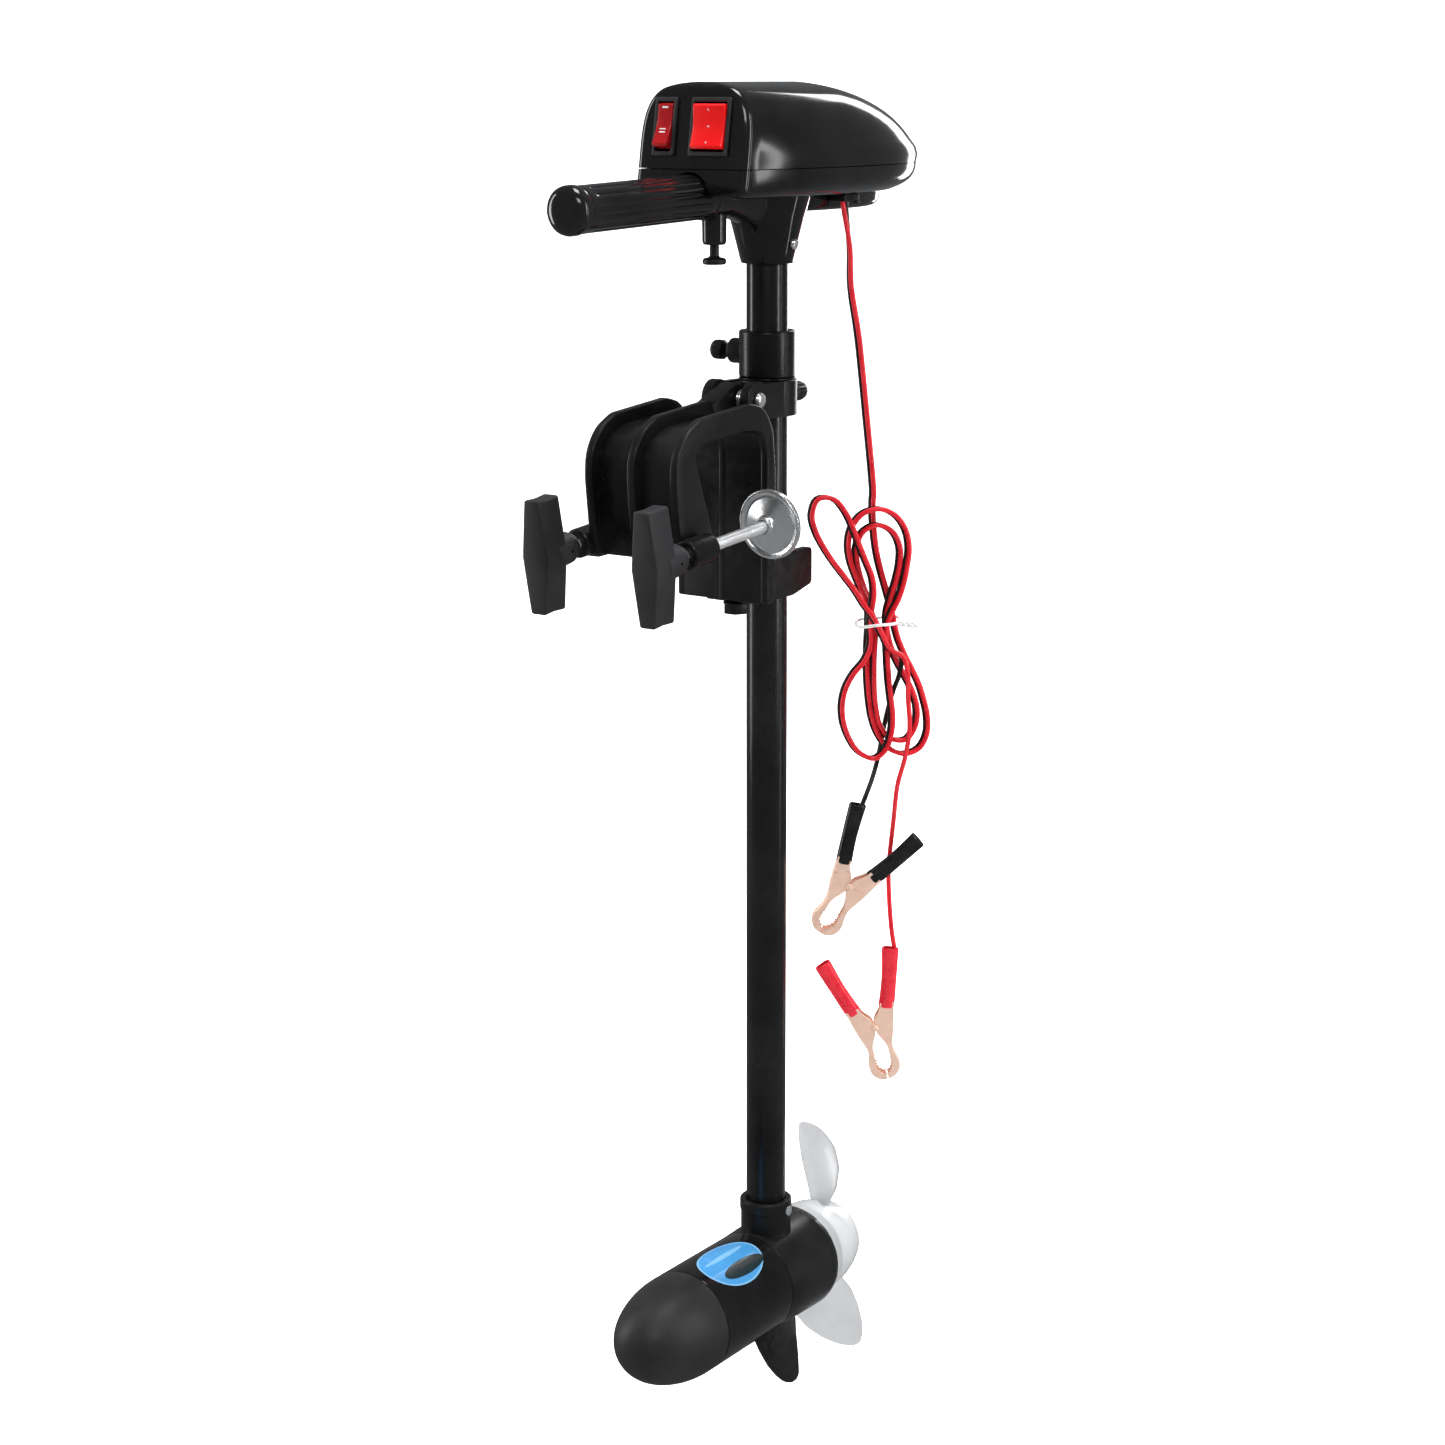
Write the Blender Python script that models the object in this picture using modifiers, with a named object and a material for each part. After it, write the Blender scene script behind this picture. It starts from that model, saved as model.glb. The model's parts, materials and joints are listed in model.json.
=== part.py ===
"""Transom-mount electric trolling motor, modelled as an assembly of separate pieces.

Metres, +Z up. -Y points into the boat (tiller and motor nose), +Y points aft (propeller).
"Front" is the -Y side, "rear" the +Y side, "left" the -X side and "right" the +X side.
The world origin lies on the clamp bracket's transom face. All sizes below are in
millimetres, measured from the steering axis (x = 0, y = 0) and from the top of the depth
collar (z = 0); FRAME_OFFSET moves that point to its place in the world.
"""

import math

import bmesh
import bpy
from mathutils import Matrix, Vector

MM = 0.001
UP = (0, 0, 1)
ALONG_X = (1, 0, 0)
ALONG_Y = (0, 1, 0)
SIDES = (("left", -1), ("right", 1))

# ---------------------------------------------------------------- driving sizes, mm
TRANSOM_Y = -46.0
FRAME_OFFSET = (0.0, -TRANSOM_Y, 90.0)

SEAM_GAP = 0.15  # set back from a part line, on each side of it
FIT = 0.2  # radial clearance of pins, screws and grip
CLOSE_FIT = 0.15  # radial clearance of sockets

SHAFT_R, SHAFT_WALL = 12.0, 2.0
SHAFT_TOP, SHAFT_BOTTOM = 62.0, -544.0

COLLAR_R, COLLAR_H = 16.3, 26.6
COLLAR_FIT = 0.25
THUMB_Z = -13.0

PIN_Y, PIN_Z, PIN_R = -33.0, -36.5, 2.9
BLOCK_R, BLOCK_TOP, BLOCK_BOTTOM = 17.3, -28.0, -48.5
EAR_IN, EAR_OUT, EAR_R = 10.2, 16.0, 10.5
TENSION_Z = -37.8

BRACKET_HALF = 31.0
RIB = 5.0
KNUCKLE_R = 9.0
SADDLE_TOP, SADDLE_BOTTOM = -127.0, -153.0
SADDLE_FIT = 0.6
TONGUE_Z = (SADDLE_TOP + SADDLE_BOTTOM) / 2
TONGUE_HALF_W, TONGUE_HALF_H, TONGUE_FIT = 9.5, 3.7, 0.4
BOLT_Y, BOLT_R, BOLT_BORE_R = -32.0, 3.0, 3.3

SCREW_X = 36.5
SCREW_TILT = math.radians(4.5)
SCREW_DIR = (0, math.cos(SCREW_TILT), math.sin(SCREW_TILT))
PAD_Y, PAD_Z = -51.0, -102.7
ROD_R = 3.5
PAD_R = 19.7
HANDLE_H, HANDLE_W_MID, HANDLE_W_END = 64.0, 17.4, 10.2

HEAD_BOTTOM, HEAD_PART, HEAD_TOP = 76.5, 92.0, 138.5
HEAD_FRONT, STERN_Y, STERN_LEN = -77.0, 20.0, 117.0  # the stern is a half ellipse from STERN_Y
HEAD_FRONT_HALF, HEAD_HALF = 36.6, 50.0
HEAD_WALL = 2.2
PANEL_TILT = math.radians(9.0)
PANEL_FRONT_Z = 89.0  # height at which the tilted panel plane meets HEAD_FRONT
NECK_TOP_R, NECK_BOTTOM_R, NECK_BOTTOM = 25.0, 14.2, 37.7

TILLER_Y, TILLER_Z = -62.0, 77.3
TILLER_DROOP = math.radians(1.6)
TILLER_DIR = (0, -math.cos(TILLER_DROOP), -math.sin(TILLER_DROOP))
GRIP_R, GRIP_LEN, TUBE_R = 12.6, 128.0, 9.0
PULL_PIN_Y, PULL_PIN_R = -53.0, 2.65

SWITCH_Z, SWITCH_H = 114.5, 31.5
ROCKER_DEPTH = 1.5  # rocker pivot behind the panel face
SWITCHES = (("speed", -17.6, 14.0, -9.0), ("direction", 12.0, 24.5, 0.0))  # x, width, lean deg

MOTOR_Z, MOTOR_R = -580.3, 31.5
NOSE_TIP, NOSE_SEAM, REAR_SEAM, REAR_FACE = -141.0, -86.0, -17.3, 35.4
REAR_INNER_R = MOTOR_R - 3.6
THROUGH_BOLT_X, THROUGH_BORE_R = 25.9, 1.9
SOCKET_R, SOCKET_TOP = 15.8, -529.7
FIN_BOTTOM = -665.5
ARM_R = 4.0
BEARING_R, BEARING_FIT = 8.0, 0.1
PROP_R = 74.0
PROP_ANGLE = math.radians(103.0)
BLADE_Y = 60.3  # blade centre line at zero rake

WIRE_R = 1.15
LEAD_OFFSET = 1.45  # each battery lead from their common centre line
CABLE_DEPTH = 42.0
CABLE_HEADING = math.radians(33.63)  # heading of the plane in which the coiled cable hangs
CLIP_T = 9.0

# ---------------------------------------------------------------- cable stations, mm
# From the head down to the coil: (across the cable plane, z, depth)
CABLE_DROP = [(47.5, 45, 24), (48.5, 22, 29), (53.5, -8, 35), (58.5, -52, 42)]

# The coil itself: (across the cable plane, z, depth beyond CABLE_DEPTH)
CABLE_LOOPS = [
    (63.0, -95.4, 3.4), (63.0, -105.9, 4.6), (63.2, -116.3, 5.4), (64.2, -126.8, 5.3),
    (65.7, -137.2, 5.1), (68.1, -147.4, 5.1), (71.0, -157.5, 5.5), (73.8, -167.6, 6.0),
    (76.1, -177.8, 4.8), (78.6, -188.0, 3.9), (82.5, -197.7, 3.0), (87.2, -207.0, 2.5),
    (91.7, -216.5, 2.2), (94.9, -226.5, 1.9), (97.1, -236.8, 1.8), (97.0, -247.2, 1.7),
    (92.4, -256.5, 1.8), (82.9, -260.2, 2.2), (73.4, -256.3, 2.9), (67.2, -247.9, 3.3),
    (63.7, -238.0, 3.6), (62.0, -227.7, 3.8), (61.0, -217.2, 3.9), (60.5, -206.7, 4.2),
    (60.6, -196.2, 4.5), (61.0, -185.7, 5.3), (61.2, -175.3, 6.6), (60.4, -164.9, 6.7),
    (57.1, -155.1, 5.4), (54.3, -145.0, 4.0), (53.3, -134.7, 2.6), (56.2, -124.8, 1.2),
    (64.7, -119.4, -0.2), (74.2, -123.0, -0.1), (79.0, -132.1, 0.0), (79.1, -142.6, 0.1),
    (77.1, -152.9, 0.2), (74.2, -163.0, 0.3), (71.9, -173.1, 1.8), (72.2, -183.5, 2.8),
    (74.6, -193.7, 2.7), (78.6, -203.4, 2.4), (83.6, -212.6, 2.1), (88.2, -222.0, 1.9),
    (90.8, -232.1, 1.8), (89.9, -242.5, 1.9), (84.3, -251.2, 2.1), (74.6, -250.5, 2.7),
    (68.4, -242.2, 1.8), (65.9, -232.0, 1.3), (64.8, -221.6, 1.3), (64.5, -211.1, 1.4),
    (64.5, -200.6, 1.5), (65.0, -190.1, 1.7), (65.1, -179.6, 1.8), (61.6, -169.8, 1.6),
    (57.2, -160.3, 0.9), (53.0, -150.7, 0.7), (49.6, -140.7, 0.8), (48.4, -130.3, 0.9),
    (50.8, -120.2, 1.0), (57.4, -112.3, 0.2), (67.4, -109.8, -0.4), (76.8, -114.0, -0.6),
    (82.6, -122.7, -0.8), (84.6, -132.9, -1.1), (83.6, -143.3, -1.4), (81.7, -153.7, -1.8),
    (78.6, -163.7, -2.3), (74.1, -173.1, -3.0), (71.2, -182.9, -2.7), (72.0, -193.4, -1.8),
    (72.6, -203.8, -1.8), (73.4, -214.3, -1.9), (74.7, -224.7, -1.9), (75.9, -235.2, -2.1),
    (75.3, -245.6, -2.5), (72.3, -255.7, -2.5), (65.0, -262.3, -1.8), (55.6, -258.2, -1.5),
    (49.7, -249.6, -1.3), (46.2, -239.7, -1.3), (45.4, -229.3, -1.3), (47.4, -219.0, -1.3),
    (52.2, -209.7, -1.5), (58.7, -201.5, -1.8), (62.2, -191.8, -2.3), (62.0, -181.4, -2.8),
    (62.5, -171.0, -3.4), (63.8, -160.6, -3.2), (62.6, -150.2, -3.2), (58.7, -140.4, -3.4),
    (54.8, -130.7, -3.8), (51.0, -120.9, -4.3), (46.5, -111.5, -3.6), (39.6, -103.7, -2.9),
    (30.1, -103.6, -2.5), (26.5, -113.2, -2.5), (28.9, -123.3, -2.8), (33.7, -132.6, -3.2),
    (39.5, -141.4, -3.8), (45.9, -149.7, -4.6), (52.3, -157.9, -5.9), (57.9, -166.6, -7.4),
    (64.1, -174.9, -8.3), (68.8, -184.2, -7.5), (73.6, -193.4, -6.9), (81.9, -199.2, -4.6),
]

# From the coil down to each clip: (across the cable plane, z, depth)
RED_TAIL = [
    (85.0, -211.2, 32.5), (85.2, -223.4, 36.1), (86.4, -242.3, 35.6), (84.0, -262.1, 39.8),
    (80.0, -281.3, 47.5), (78, -304, 50), (75.6, -330, 50.5), (75.6, -348, 50),
    (77.2, -371, 44.5), (79.6, -383.4, 42),
]
BLACK_TAIL = [
    (79.9, -208.7, 39.6), (73.2, -215.6, 49.3), (70.3, -226.6, 51.5), (69.3, -240, 54),
    (67.8, -256, 53), (65.2, -270, 49), (60.6, -282, 44), (58.0, -291.2, 42),
]

# ---------------------------------------------------------------- scene and materials
for old in list(bpy.data.objects):
    bpy.data.objects.remove(old, do_unlink=True)

PARTS = bpy.data.collections.new("trolling_motor")
CUTTERS = bpy.data.collections.new("cutters")
bpy.context.scene.collection.children.link(PARTS)
bpy.context.scene.collection.children.link(CUTTERS)


def material(name, colour, roughness, metallic=0.0, alpha=1.0):
    made = bpy.data.materials.new(name)
    made.use_nodes = True
    inputs = made.node_tree.nodes["Principled BSDF"].inputs
    inputs["Base Color"].default_value = (*colour, 1.0)
    inputs["Roughness"].default_value = roughness
    inputs["Metallic"].default_value = metallic
    inputs["Alpha"].default_value = alpha
    made.diffuse_color = (*colour, 1.0)
    return made


GLOSS_BLACK = material("gloss_black", colour=(0.012, 0.012, 0.013), roughness=0.12)
SATIN_BLACK = material("satin_black", colour=(0.022, 0.022, 0.024), roughness=0.45)
HANDLE_GREY = material("handle_grey", colour=(0.05, 0.05, 0.052), roughness=0.6)
ZINC = material("zinc", colour=(0.72, 0.73, 0.74), roughness=0.22, metallic=1.0)
STEEL = material("steel", colour=(0.55, 0.56, 0.58), roughness=0.3, metallic=1.0)
COPPER = material("copper_plate", colour=(0.80, 0.47, 0.34), roughness=0.3, metallic=1.0)
WINDING = material("winding", colour=(0.55, 0.22, 0.10), roughness=0.45, metallic=1.0)
BRASS = material("brass", colour=(0.75, 0.56, 0.28), roughness=0.35, metallic=1.0)
FERRITE = material("ferrite", colour=(0.10, 0.10, 0.11), roughness=0.7)
RED_SWITCH = material("red_switch", colour=(0.75, 0.015, 0.02), roughness=0.2)
RED_VINYL = material("red_vinyl", colour=(0.68, 0.02, 0.03), roughness=0.35)
BLACK_VINYL = material("black_vinyl", colour=(0.02, 0.02, 0.02), roughness=0.4)
WHITE_TIE = material("white_tie", colour=(0.85, 0.85, 0.84), roughness=0.5)
CLEAR = material("clear_polycarbonate", colour=(0.85, 0.88, 0.9), roughness=0.12, alpha=0.4)
SEAL_RUBBER = material("seal_rubber", colour=(0.03, 0.03, 0.03), roughness=0.8)
ACETAL = material("acetal", colour=(0.8, 0.8, 0.76), roughness=0.4)


# ---------------------------------------------------------------- placing
def frame_at(at=(0, 0, 0), z_to=UP):
    """Matrix whose local Z points along z_to, at a place in millimetres."""
    z = Vector(z_to).normalized()
    x = Vector(ALONG_X if abs(z.x) < 0.9 else ALONG_Y)
    y = z.cross(x).normalized()
    x = y.cross(z).normalized()
    turn = Matrix((x, y, z)).transposed().to_4x4()
    return Matrix.Translation(Vector(at) * MM) @ turn


BODIES = {}  # name: (empty, its matrix in design space)


def body(name, parent, frame):
    """An empty on a moving body's joint axis."""
    empty = bpy.data.objects.new(name + "_axis", None)
    empty.empty_display_size = 0.02
    PARTS.objects.link(empty)
    if parent is None:
        empty.matrix_basis = frame_at(FRAME_OFFSET) @ frame
    else:
        parent_empty, parent_frame = BODIES[parent]
        empty.parent = parent_empty
        empty.matrix_basis = parent_frame.inverted() @ frame
    BODIES[name] = (empty, frame)


def put(obj, owner, look, at=None):
    """Hang a finished piece on its body; at is in design space, its own matrix if left out."""
    at = obj.matrix_basis.copy() if at is None else at
    empty, frame = BODIES[owner]
    obj.parent = empty
    obj.matrix_basis = frame.inverted() @ at
    obj.data.materials.append(look)


# ---------------------------------------------------------------- shapes
def add(name, data):
    obj = bpy.data.objects.new(name, data)
    PARTS.objects.link(obj)
    return obj


def add_bmesh(name, shape):
    mesh = bpy.data.meshes.new(name)
    shape.to_mesh(mesh)
    shape.free()
    return add(name, mesh)


def realised(obj):
    """The evaluated shape as a plain mesh object with welded caps."""
    bpy.context.view_layer.update()
    graph = bpy.context.evaluated_depsgraph_get()
    mesh = bpy.data.meshes.new_from_object(obj.evaluated_get(graph))
    shape = bmesh.new()
    shape.from_mesh(mesh)
    bmesh.ops.remove_doubles(shape, verts=shape.verts, dist=0.000002)
    bmesh.ops.recalc_face_normals(shape, faces=shape.faces)
    shape.to_mesh(mesh)
    shape.free()
    name = obj.name
    bpy.data.objects.remove(obj, do_unlink=True)
    return add(name, mesh)


def clockwise(profile):
    area = 0.0
    for (x0, y0), (x1, y1) in zip(profile, profile[1:] + profile[:1]):
        area += x0 * y1 - x1 * y0
    return profile if area < 0 else profile[::-1]


def turned(name, profile, steps=28):
    """A turned piece: closed (radius, height) outline, spun a full turn about local Z."""
    points = clockwise(profile)
    count = len(points)
    on_axis = [k for k in range(count) if points[k][0] == 0 and points[(k + 1) % count][0] == 0]
    edges = [(k, k + 1) for k in range(count - 1)]
    if on_axis:  # leave out the edge that lies on the axis
        start = on_axis[0] + 1
        points = points[start:] + points[:start]
    else:
        edges.append((count - 1, 0))
    mesh = bpy.data.meshes.new(name)
    mesh.from_pydata([(r * MM, 0.0, h * MM) for r, h in points], edges, [])
    obj = add(name, mesh)
    spin = obj.modifiers.new("turn", "SCREW")
    spin.axis = "Z"
    spin.angle = 2 * math.pi
    spin.steps = steps
    spin.render_steps = steps
    spin.use_merge_vertices = True
    spin.merge_threshold = 0.00001
    spin.use_smooth_shade = True
    return obj


def rod(name, radius, low, high, steps=20):
    return turned(name, [(0, low), (radius, low), (radius, high), (0, high)], steps)


def ring(name, inner, outer, low, high, steps=28):
    return turned(name, [(inner, low), (outer, low), (outer, high), (inner, high)], steps)


def arc(centre, radius, degrees):
    return [(centre[0] + radius * math.cos(math.radians(a)),
             centre[1] + radius * math.sin(math.radians(a))) for a in degrees]


def poly_curve(name, dimensions, points, cyclic):
    """A curve object with one straight-segment spline through (x, y, z) points."""
    curve = bpy.data.curves.new(name, "CURVE")
    curve.dimensions = dimensions
    line = curve.splines.new("POLY")
    line.points.add(len(points) - 1)
    for point, place in zip(line.points, points):
        point.co = (*[value * MM for value in place], 1.0)
    line.use_cyclic_u = cyclic
    return add(name, curve)


def plate(name, outline, thickness):
    """A flat (x, y) outline extruded to both sides of local Z by half the thickness."""
    obj = poly_curve(name, "2D", [(x, y, 0.0) for x, y in outline], cyclic=True)
    obj.data.fill_mode = "BOTH"
    obj.data.extrude = thickness * MM / 2
    return realised(obj)


# local X -> +Y, local Y -> +Z, local Z -> +X: for outlines drawn in the side view
SIDE = Matrix(((0, 0, 1, 0), (1, 0, 0, 0), (0, 1, 0, 0), (0, 0, 0, 1)))


def side_plate(name, outline, x0, x1):
    """A (y, z) outline extruded from x0 to x1."""
    obj = plate(name, outline, x1 - x0)
    obj.matrix_basis = frame_at(((x0 + x1) / 2, 0, 0)) @ SIDE
    return obj


def wire(name, points, radius, bevel_resolution=1, cyclic=False):
    """A bent round wire through (x, y, z) points."""
    obj = poly_curve(name, "3D", points, cyclic)
    obj.data.bevel_depth = radius * MM
    obj.data.bevel_resolution = bevel_resolution
    obj.data.use_fill_caps = not cyclic
    return obj


def block(name, low, high):
    shape = bmesh.new()
    bmesh.ops.create_cube(shape, size=1.0)
    low, high = Vector(low) * MM, Vector(high) * MM
    bmesh.ops.scale(shape, vec=high - low, verts=shape.verts)
    bmesh.ops.translate(shape, vec=(high + low) / 2, verts=shape.verts)
    return add_bmesh(name, shape)


def loft(name, rings):
    """A closed skin over rings of equal point count, with a flat cap at each end."""
    shape = bmesh.new()
    rows = [[shape.verts.new(Vector(p) * MM) for p in points] for points in rings]
    for low, high in zip(rows, rows[1:]):
        for k in range(len(low)):
            n = (k + 1) % len(low)
            shape.faces.new((low[k], low[n], high[n], high[k]))
    shape.faces.new(rows[0][::-1])
    shape.faces.new(rows[-1])
    bmesh.ops.recalc_face_normals(shape, faces=shape.faces)
    return add_bmesh(name, shape)


def boolean(target, helper, operation, at):
    """Boolean with a helper that stays hidden among the cutters; at is in design space."""
    if helper.modifiers:
        helper = realised(helper)
    PARTS.objects.unlink(helper)
    CUTTERS.objects.link(helper)
    helper.parent = BODIES["frame"][0]
    if at is not None:
        helper.matrix_basis = at
    helper.hide_render = True
    helper.display_type = "WIRE"
    step = target.modifiers.new(operation.lower(), "BOOLEAN")
    step.operation = operation
    step.solver = "EXACT"
    step.object = helper


def join(target, helper, at=None):
    boolean(target, helper, "UNION", at)


def cut(target, helper, at=None):
    boolean(target, helper, "DIFFERENCE", at)


# ---------------------------------------------------------------- shared frames
HINGE = frame_at((0, PIN_Y, PIN_Z), ALONG_X)
TENSION = frame_at((0, 0, TENSION_Z), ALONG_Y)
THUMB = frame_at((0, 0, THUMB_Z), (-1, 0, 0))
SADDLE_BOLT = frame_at((0, BOLT_Y, 0))
TILLER = frame_at((0, TILLER_Y, TILLER_Z), TILLER_DIR)
PULL_PIN = frame_at((0, PULL_PIN_Y, 0))
NECK_SCREW = frame_at((0, 0, 49), (1.0, -0.04, 0))
SOCKET_SCREW = frame_at((0, 0, -535.5), ALONG_X)
MOTOR = frame_at((0, 0, MOTOR_Z), ALONG_Y)
DRIVE_PIN = MOTOR @ frame_at((0, 0, 50), ALONG_X)


def clamp_frame(sign):
    """Local Z runs along the clamp screw towards the transom, from the pad's ball."""
    return frame_at((sign * SCREW_X, PAD_Y, PAD_Z), SCREW_DIR)


def through_bolt_frame(sign):
    return frame_at((sign * THROUGH_BOLT_X, 0, MOTOR_Z), ALONG_Y)


def panel_y(z):
    return HEAD_FRONT + (z - PANEL_FRONT_Z) * math.tan(PANEL_TILT)


def switch_frame(x):
    """Square to the tilted panel, local Y into the head."""
    return frame_at((x, panel_y(SWITCH_Z), SWITCH_Z)) @ Matrix.Rotation(-PANEL_TILT, 4, "X")


def rocker_frame(x):
    return switch_frame(x) @ frame_at((0, ROCKER_DEPTH, 0))


def hang(across, z, depth):
    """A point by its place across the cable plane and its depth behind the steering axis."""
    sin, cos = math.sin(CABLE_HEADING), math.cos(CABLE_HEADING)
    return (across * cos - depth * sin, across * sin + depth * cos, z)


def make_bodies():
    body("frame", None, frame_at())
    body("tilt", "frame", frame_at((0, PIN_Y, PIN_Z)))
    body("tension", "tilt", frame_at((0, 0, TENSION_Z)))
    body("steering", "tilt", frame_at())
    body("thumb", "steering", frame_at((0, 0, THUMB_Z)))
    body("lift", "steering", frame_at())
    body("propeller", "lift", frame_at((0, 0, MOTOR_Z)))
    body("tiller", "lift", TILLER)
    body("pull", "lift", frame_at((0, PULL_PIN_Y, TILLER_Z)))
    for side, sign in SIDES:
        ball = frame_at((sign * SCREW_X, PAD_Y, PAD_Z))
        body(side + "_pad", "frame", ball)
        body(side + "_screw", side + "_pad", ball)
    for tag, x, _, _ in SWITCHES:
        body(tag + "_rocker", "lift", rocker_frame(x))


# ---------------------------------------------------------------- clamp bracket
# Side-view (y, z) runs; an outer run plus the inner run closes an outline
RIB_OUTER = [
    (-128, -116), (-131, -98), (-134, -72), (-133, -60), (-127, -49), (-117, -41.5),
    (-108, -38.5), (-62, -34.8), (-53, -37), (-45, -43.5), (-40.5, -52), (-38.5, -62),
    (-37.5, -80), (-37.5, -146), (-39.5, -150),
]
WALL_OUTER = [
    (-121, -116), (-123.5, -98), (-126, -72), (-124.5, -62), (-119.5, -54), (-112, -48),
    (-105, -45.5), (-64, -42.3), (-56, -44.5), (-48.5, -51), (-43.5, -59), (-41.3, -68),
    (-41.0, -150),
]
BRACKET_INNER = [
    (TRANSOM_Y, -150), (TRANSOM_Y, -66), (-48.5, -57), (-55.9, -51.1), (-66, -49.5),
    (-103.5, -52), (-112, -55.3), (-115, -61.6), (-95, -116),
]


def clamp_bracket():
    wall_half = BRACKET_HALF - 0.5  # the outer ribs stand just outside the wall
    bracket = side_plate("clamp_bracket", WALL_OUTER + BRACKET_INNER, -wall_half, wall_half)
    for tag, low in (("left", -BRACKET_HALF), ("centre", -RIB / 2), ("right", BRACKET_HALF - RIB)):
        join(bracket, side_plate("rib_" + tag, RIB_OUTER + BRACKET_INNER, low, low + RIB))
    knuckle = [(-60, -37.5)] + arc((PIN_Y, PIN_Z), KNUCKLE_R, range(110, -101, -21))
    knuckle += [(-41.4, -60), (-44, -64), (-52, -52)]
    join(bracket, side_plate("knuckle", knuckle, -9.3, 3.0))
    join(bracket, block("saddle_tongue", (-TONGUE_HALF_W, -43, TONGUE_Z - TONGUE_HALF_H),
                        (TONGUE_HALF_W, -22, TONGUE_Z + TONGUE_HALF_H)))
    for side, sign in SIDES:
        low_x, high_x = sorted((sign * 27, sign * SCREW_X))
        join(bracket, block(side + "_gusset", (low_x, -127, -117.5), (high_x, -115, -103)))
        join(bracket, rod(side + "_boss", 8.3, -83.5, -61, 24), clamp_frame(sign))
    for side, sign in SIDES:
        cut(bracket, rod(side + "_screw_bore", ROD_R + FIT, -100, -40, 24), clamp_frame(sign))
    cut(bracket, rod("knuckle_bore", PIN_R + FIT, -20, 20), HINGE)
    cut(bracket, rod("tongue_bore", BOLT_BORE_R, -10, 10), frame_at((0, BOLT_Y, TONGUE_Z)))
    put(bracket, "frame", SATIN_BLACK)


def shaft_saddle():
    """The block that the shaft rests in, open to the rear."""
    seat_r = SHAFT_R + SADDLE_FIT
    outline = [(-37.2, SADDLE_BOTTOM), (2, SADDLE_BOTTOM), (22, -148.5), (22, SADDLE_TOP),
               (-37.2, SADDLE_TOP)]
    saddle = side_plate("shaft_saddle", outline, -17, 17)
    cut(saddle, rod("saddle_seat", seat_r, -170, -110, 28))
    cut(saddle, block("saddle_mouth", (-seat_r, 0, -170), (seat_r, 40, -110)))
    half_w, half_h = TONGUE_HALF_W + TONGUE_FIT, TONGUE_HALF_H + TONGUE_FIT
    cut(saddle, block("saddle_pocket", (-half_w, -50, TONGUE_Z - half_h),
                      (half_w, -21.5, TONGUE_Z + half_h)))
    cut(saddle, rod("saddle_bolt_bore", BOLT_BORE_R, -180, -120), SADDLE_BOLT)
    put(saddle, "frame", SATIN_BLACK)


def saddle_bolt():
    bolt = turned("saddle_bolt", [
        (0, -160), (5.8, -160), (6.6, -159), (6.6, -153.4), (BOLT_R, -153.4), (BOLT_R, -128.5),
        (0, -128.5)], 20)
    put(bolt, "frame", SATIN_BLACK, SADDLE_BOLT)


# ---------------------------------------------------------------- hinge
def hinge_pin():
    pin = turned("hinge_pin", [
        (0, -19), (3.6, -19), (4.4, -18.2), (4.4, -16.4), (PIN_R, -16.4), (PIN_R, 16.4),
        (4.4, 16.4), (4.4, 18.2), (3.6, 19), (0, 19)], 20)
    put(pin, "frame", ZINC, HINGE)


def tilt_spring():
    start_x, pitch, coil_r, per_turn = 3.95, 1.75, 4.9, 10
    coil = []
    for k in range(29):
        angle = 2 * math.pi * k / per_turn
        coil.append((start_x + pitch * k / per_turn, PIN_Y + coil_r * math.cos(angle),
                     PIN_Z + coil_r * math.sin(angle)))
    put(wire("tilt_spring", coil, 0.7), "frame", ZINC)


# ---------------------------------------------------------------- clamp screws
def clamp_pad(side, at):
    pad = turned(side + "_clamp_pad", [
        (0, 1), (PAD_R, 1), (PAD_R, -2.2), (17.6, -2.2), (16.4, -0.8), (15.2, -0.8),
        (5.3, -5.6), (5.3, -8.2), (3.8, -8.2), (3.8, -1.6), (0, -1.6)], 32)
    put(pad, side + "_pad", ZINC, at)


def handle_ring(half_height, z):
    edge = [(HANDLE_W_END / 2, half_height, z), (HANDLE_W_MID / 2, 0, z),
            (HANDLE_W_END / 2, -half_height, z)]
    return edge + [(-x, y, z) for x, y, z in edge[::-1]]


def t_handle(side, at):
    handle = loft(side + "_t_handle", [handle_ring(HANDLE_H / 2 - 1.0, -121.0),
                                       handle_ring(HANDLE_H / 2, -102.5)])
    join(handle, turned(side + "_hub", [
        (0, -110), (9.4, -110), (9.4, -96.5), (8.8, -92.4), (7.2, -89.2), (5.2, -87.9),
        (0, -87.9)], 24), at)
    cut(handle, rod(side + "_handle_bore", ROD_R + CLOSE_FIT, -109, -69), at)
    put(handle, side + "_screw", HANDLE_GREY, at)


def clamp_screws():
    for side, sign in SIDES:
        at = clamp_frame(sign)
        clamp_pad(side, at)
        put(rod(side + "_clamp_screw", ROD_R, -108, -2), side + "_screw", ZINC, at)
        t_handle(side, at)


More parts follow.
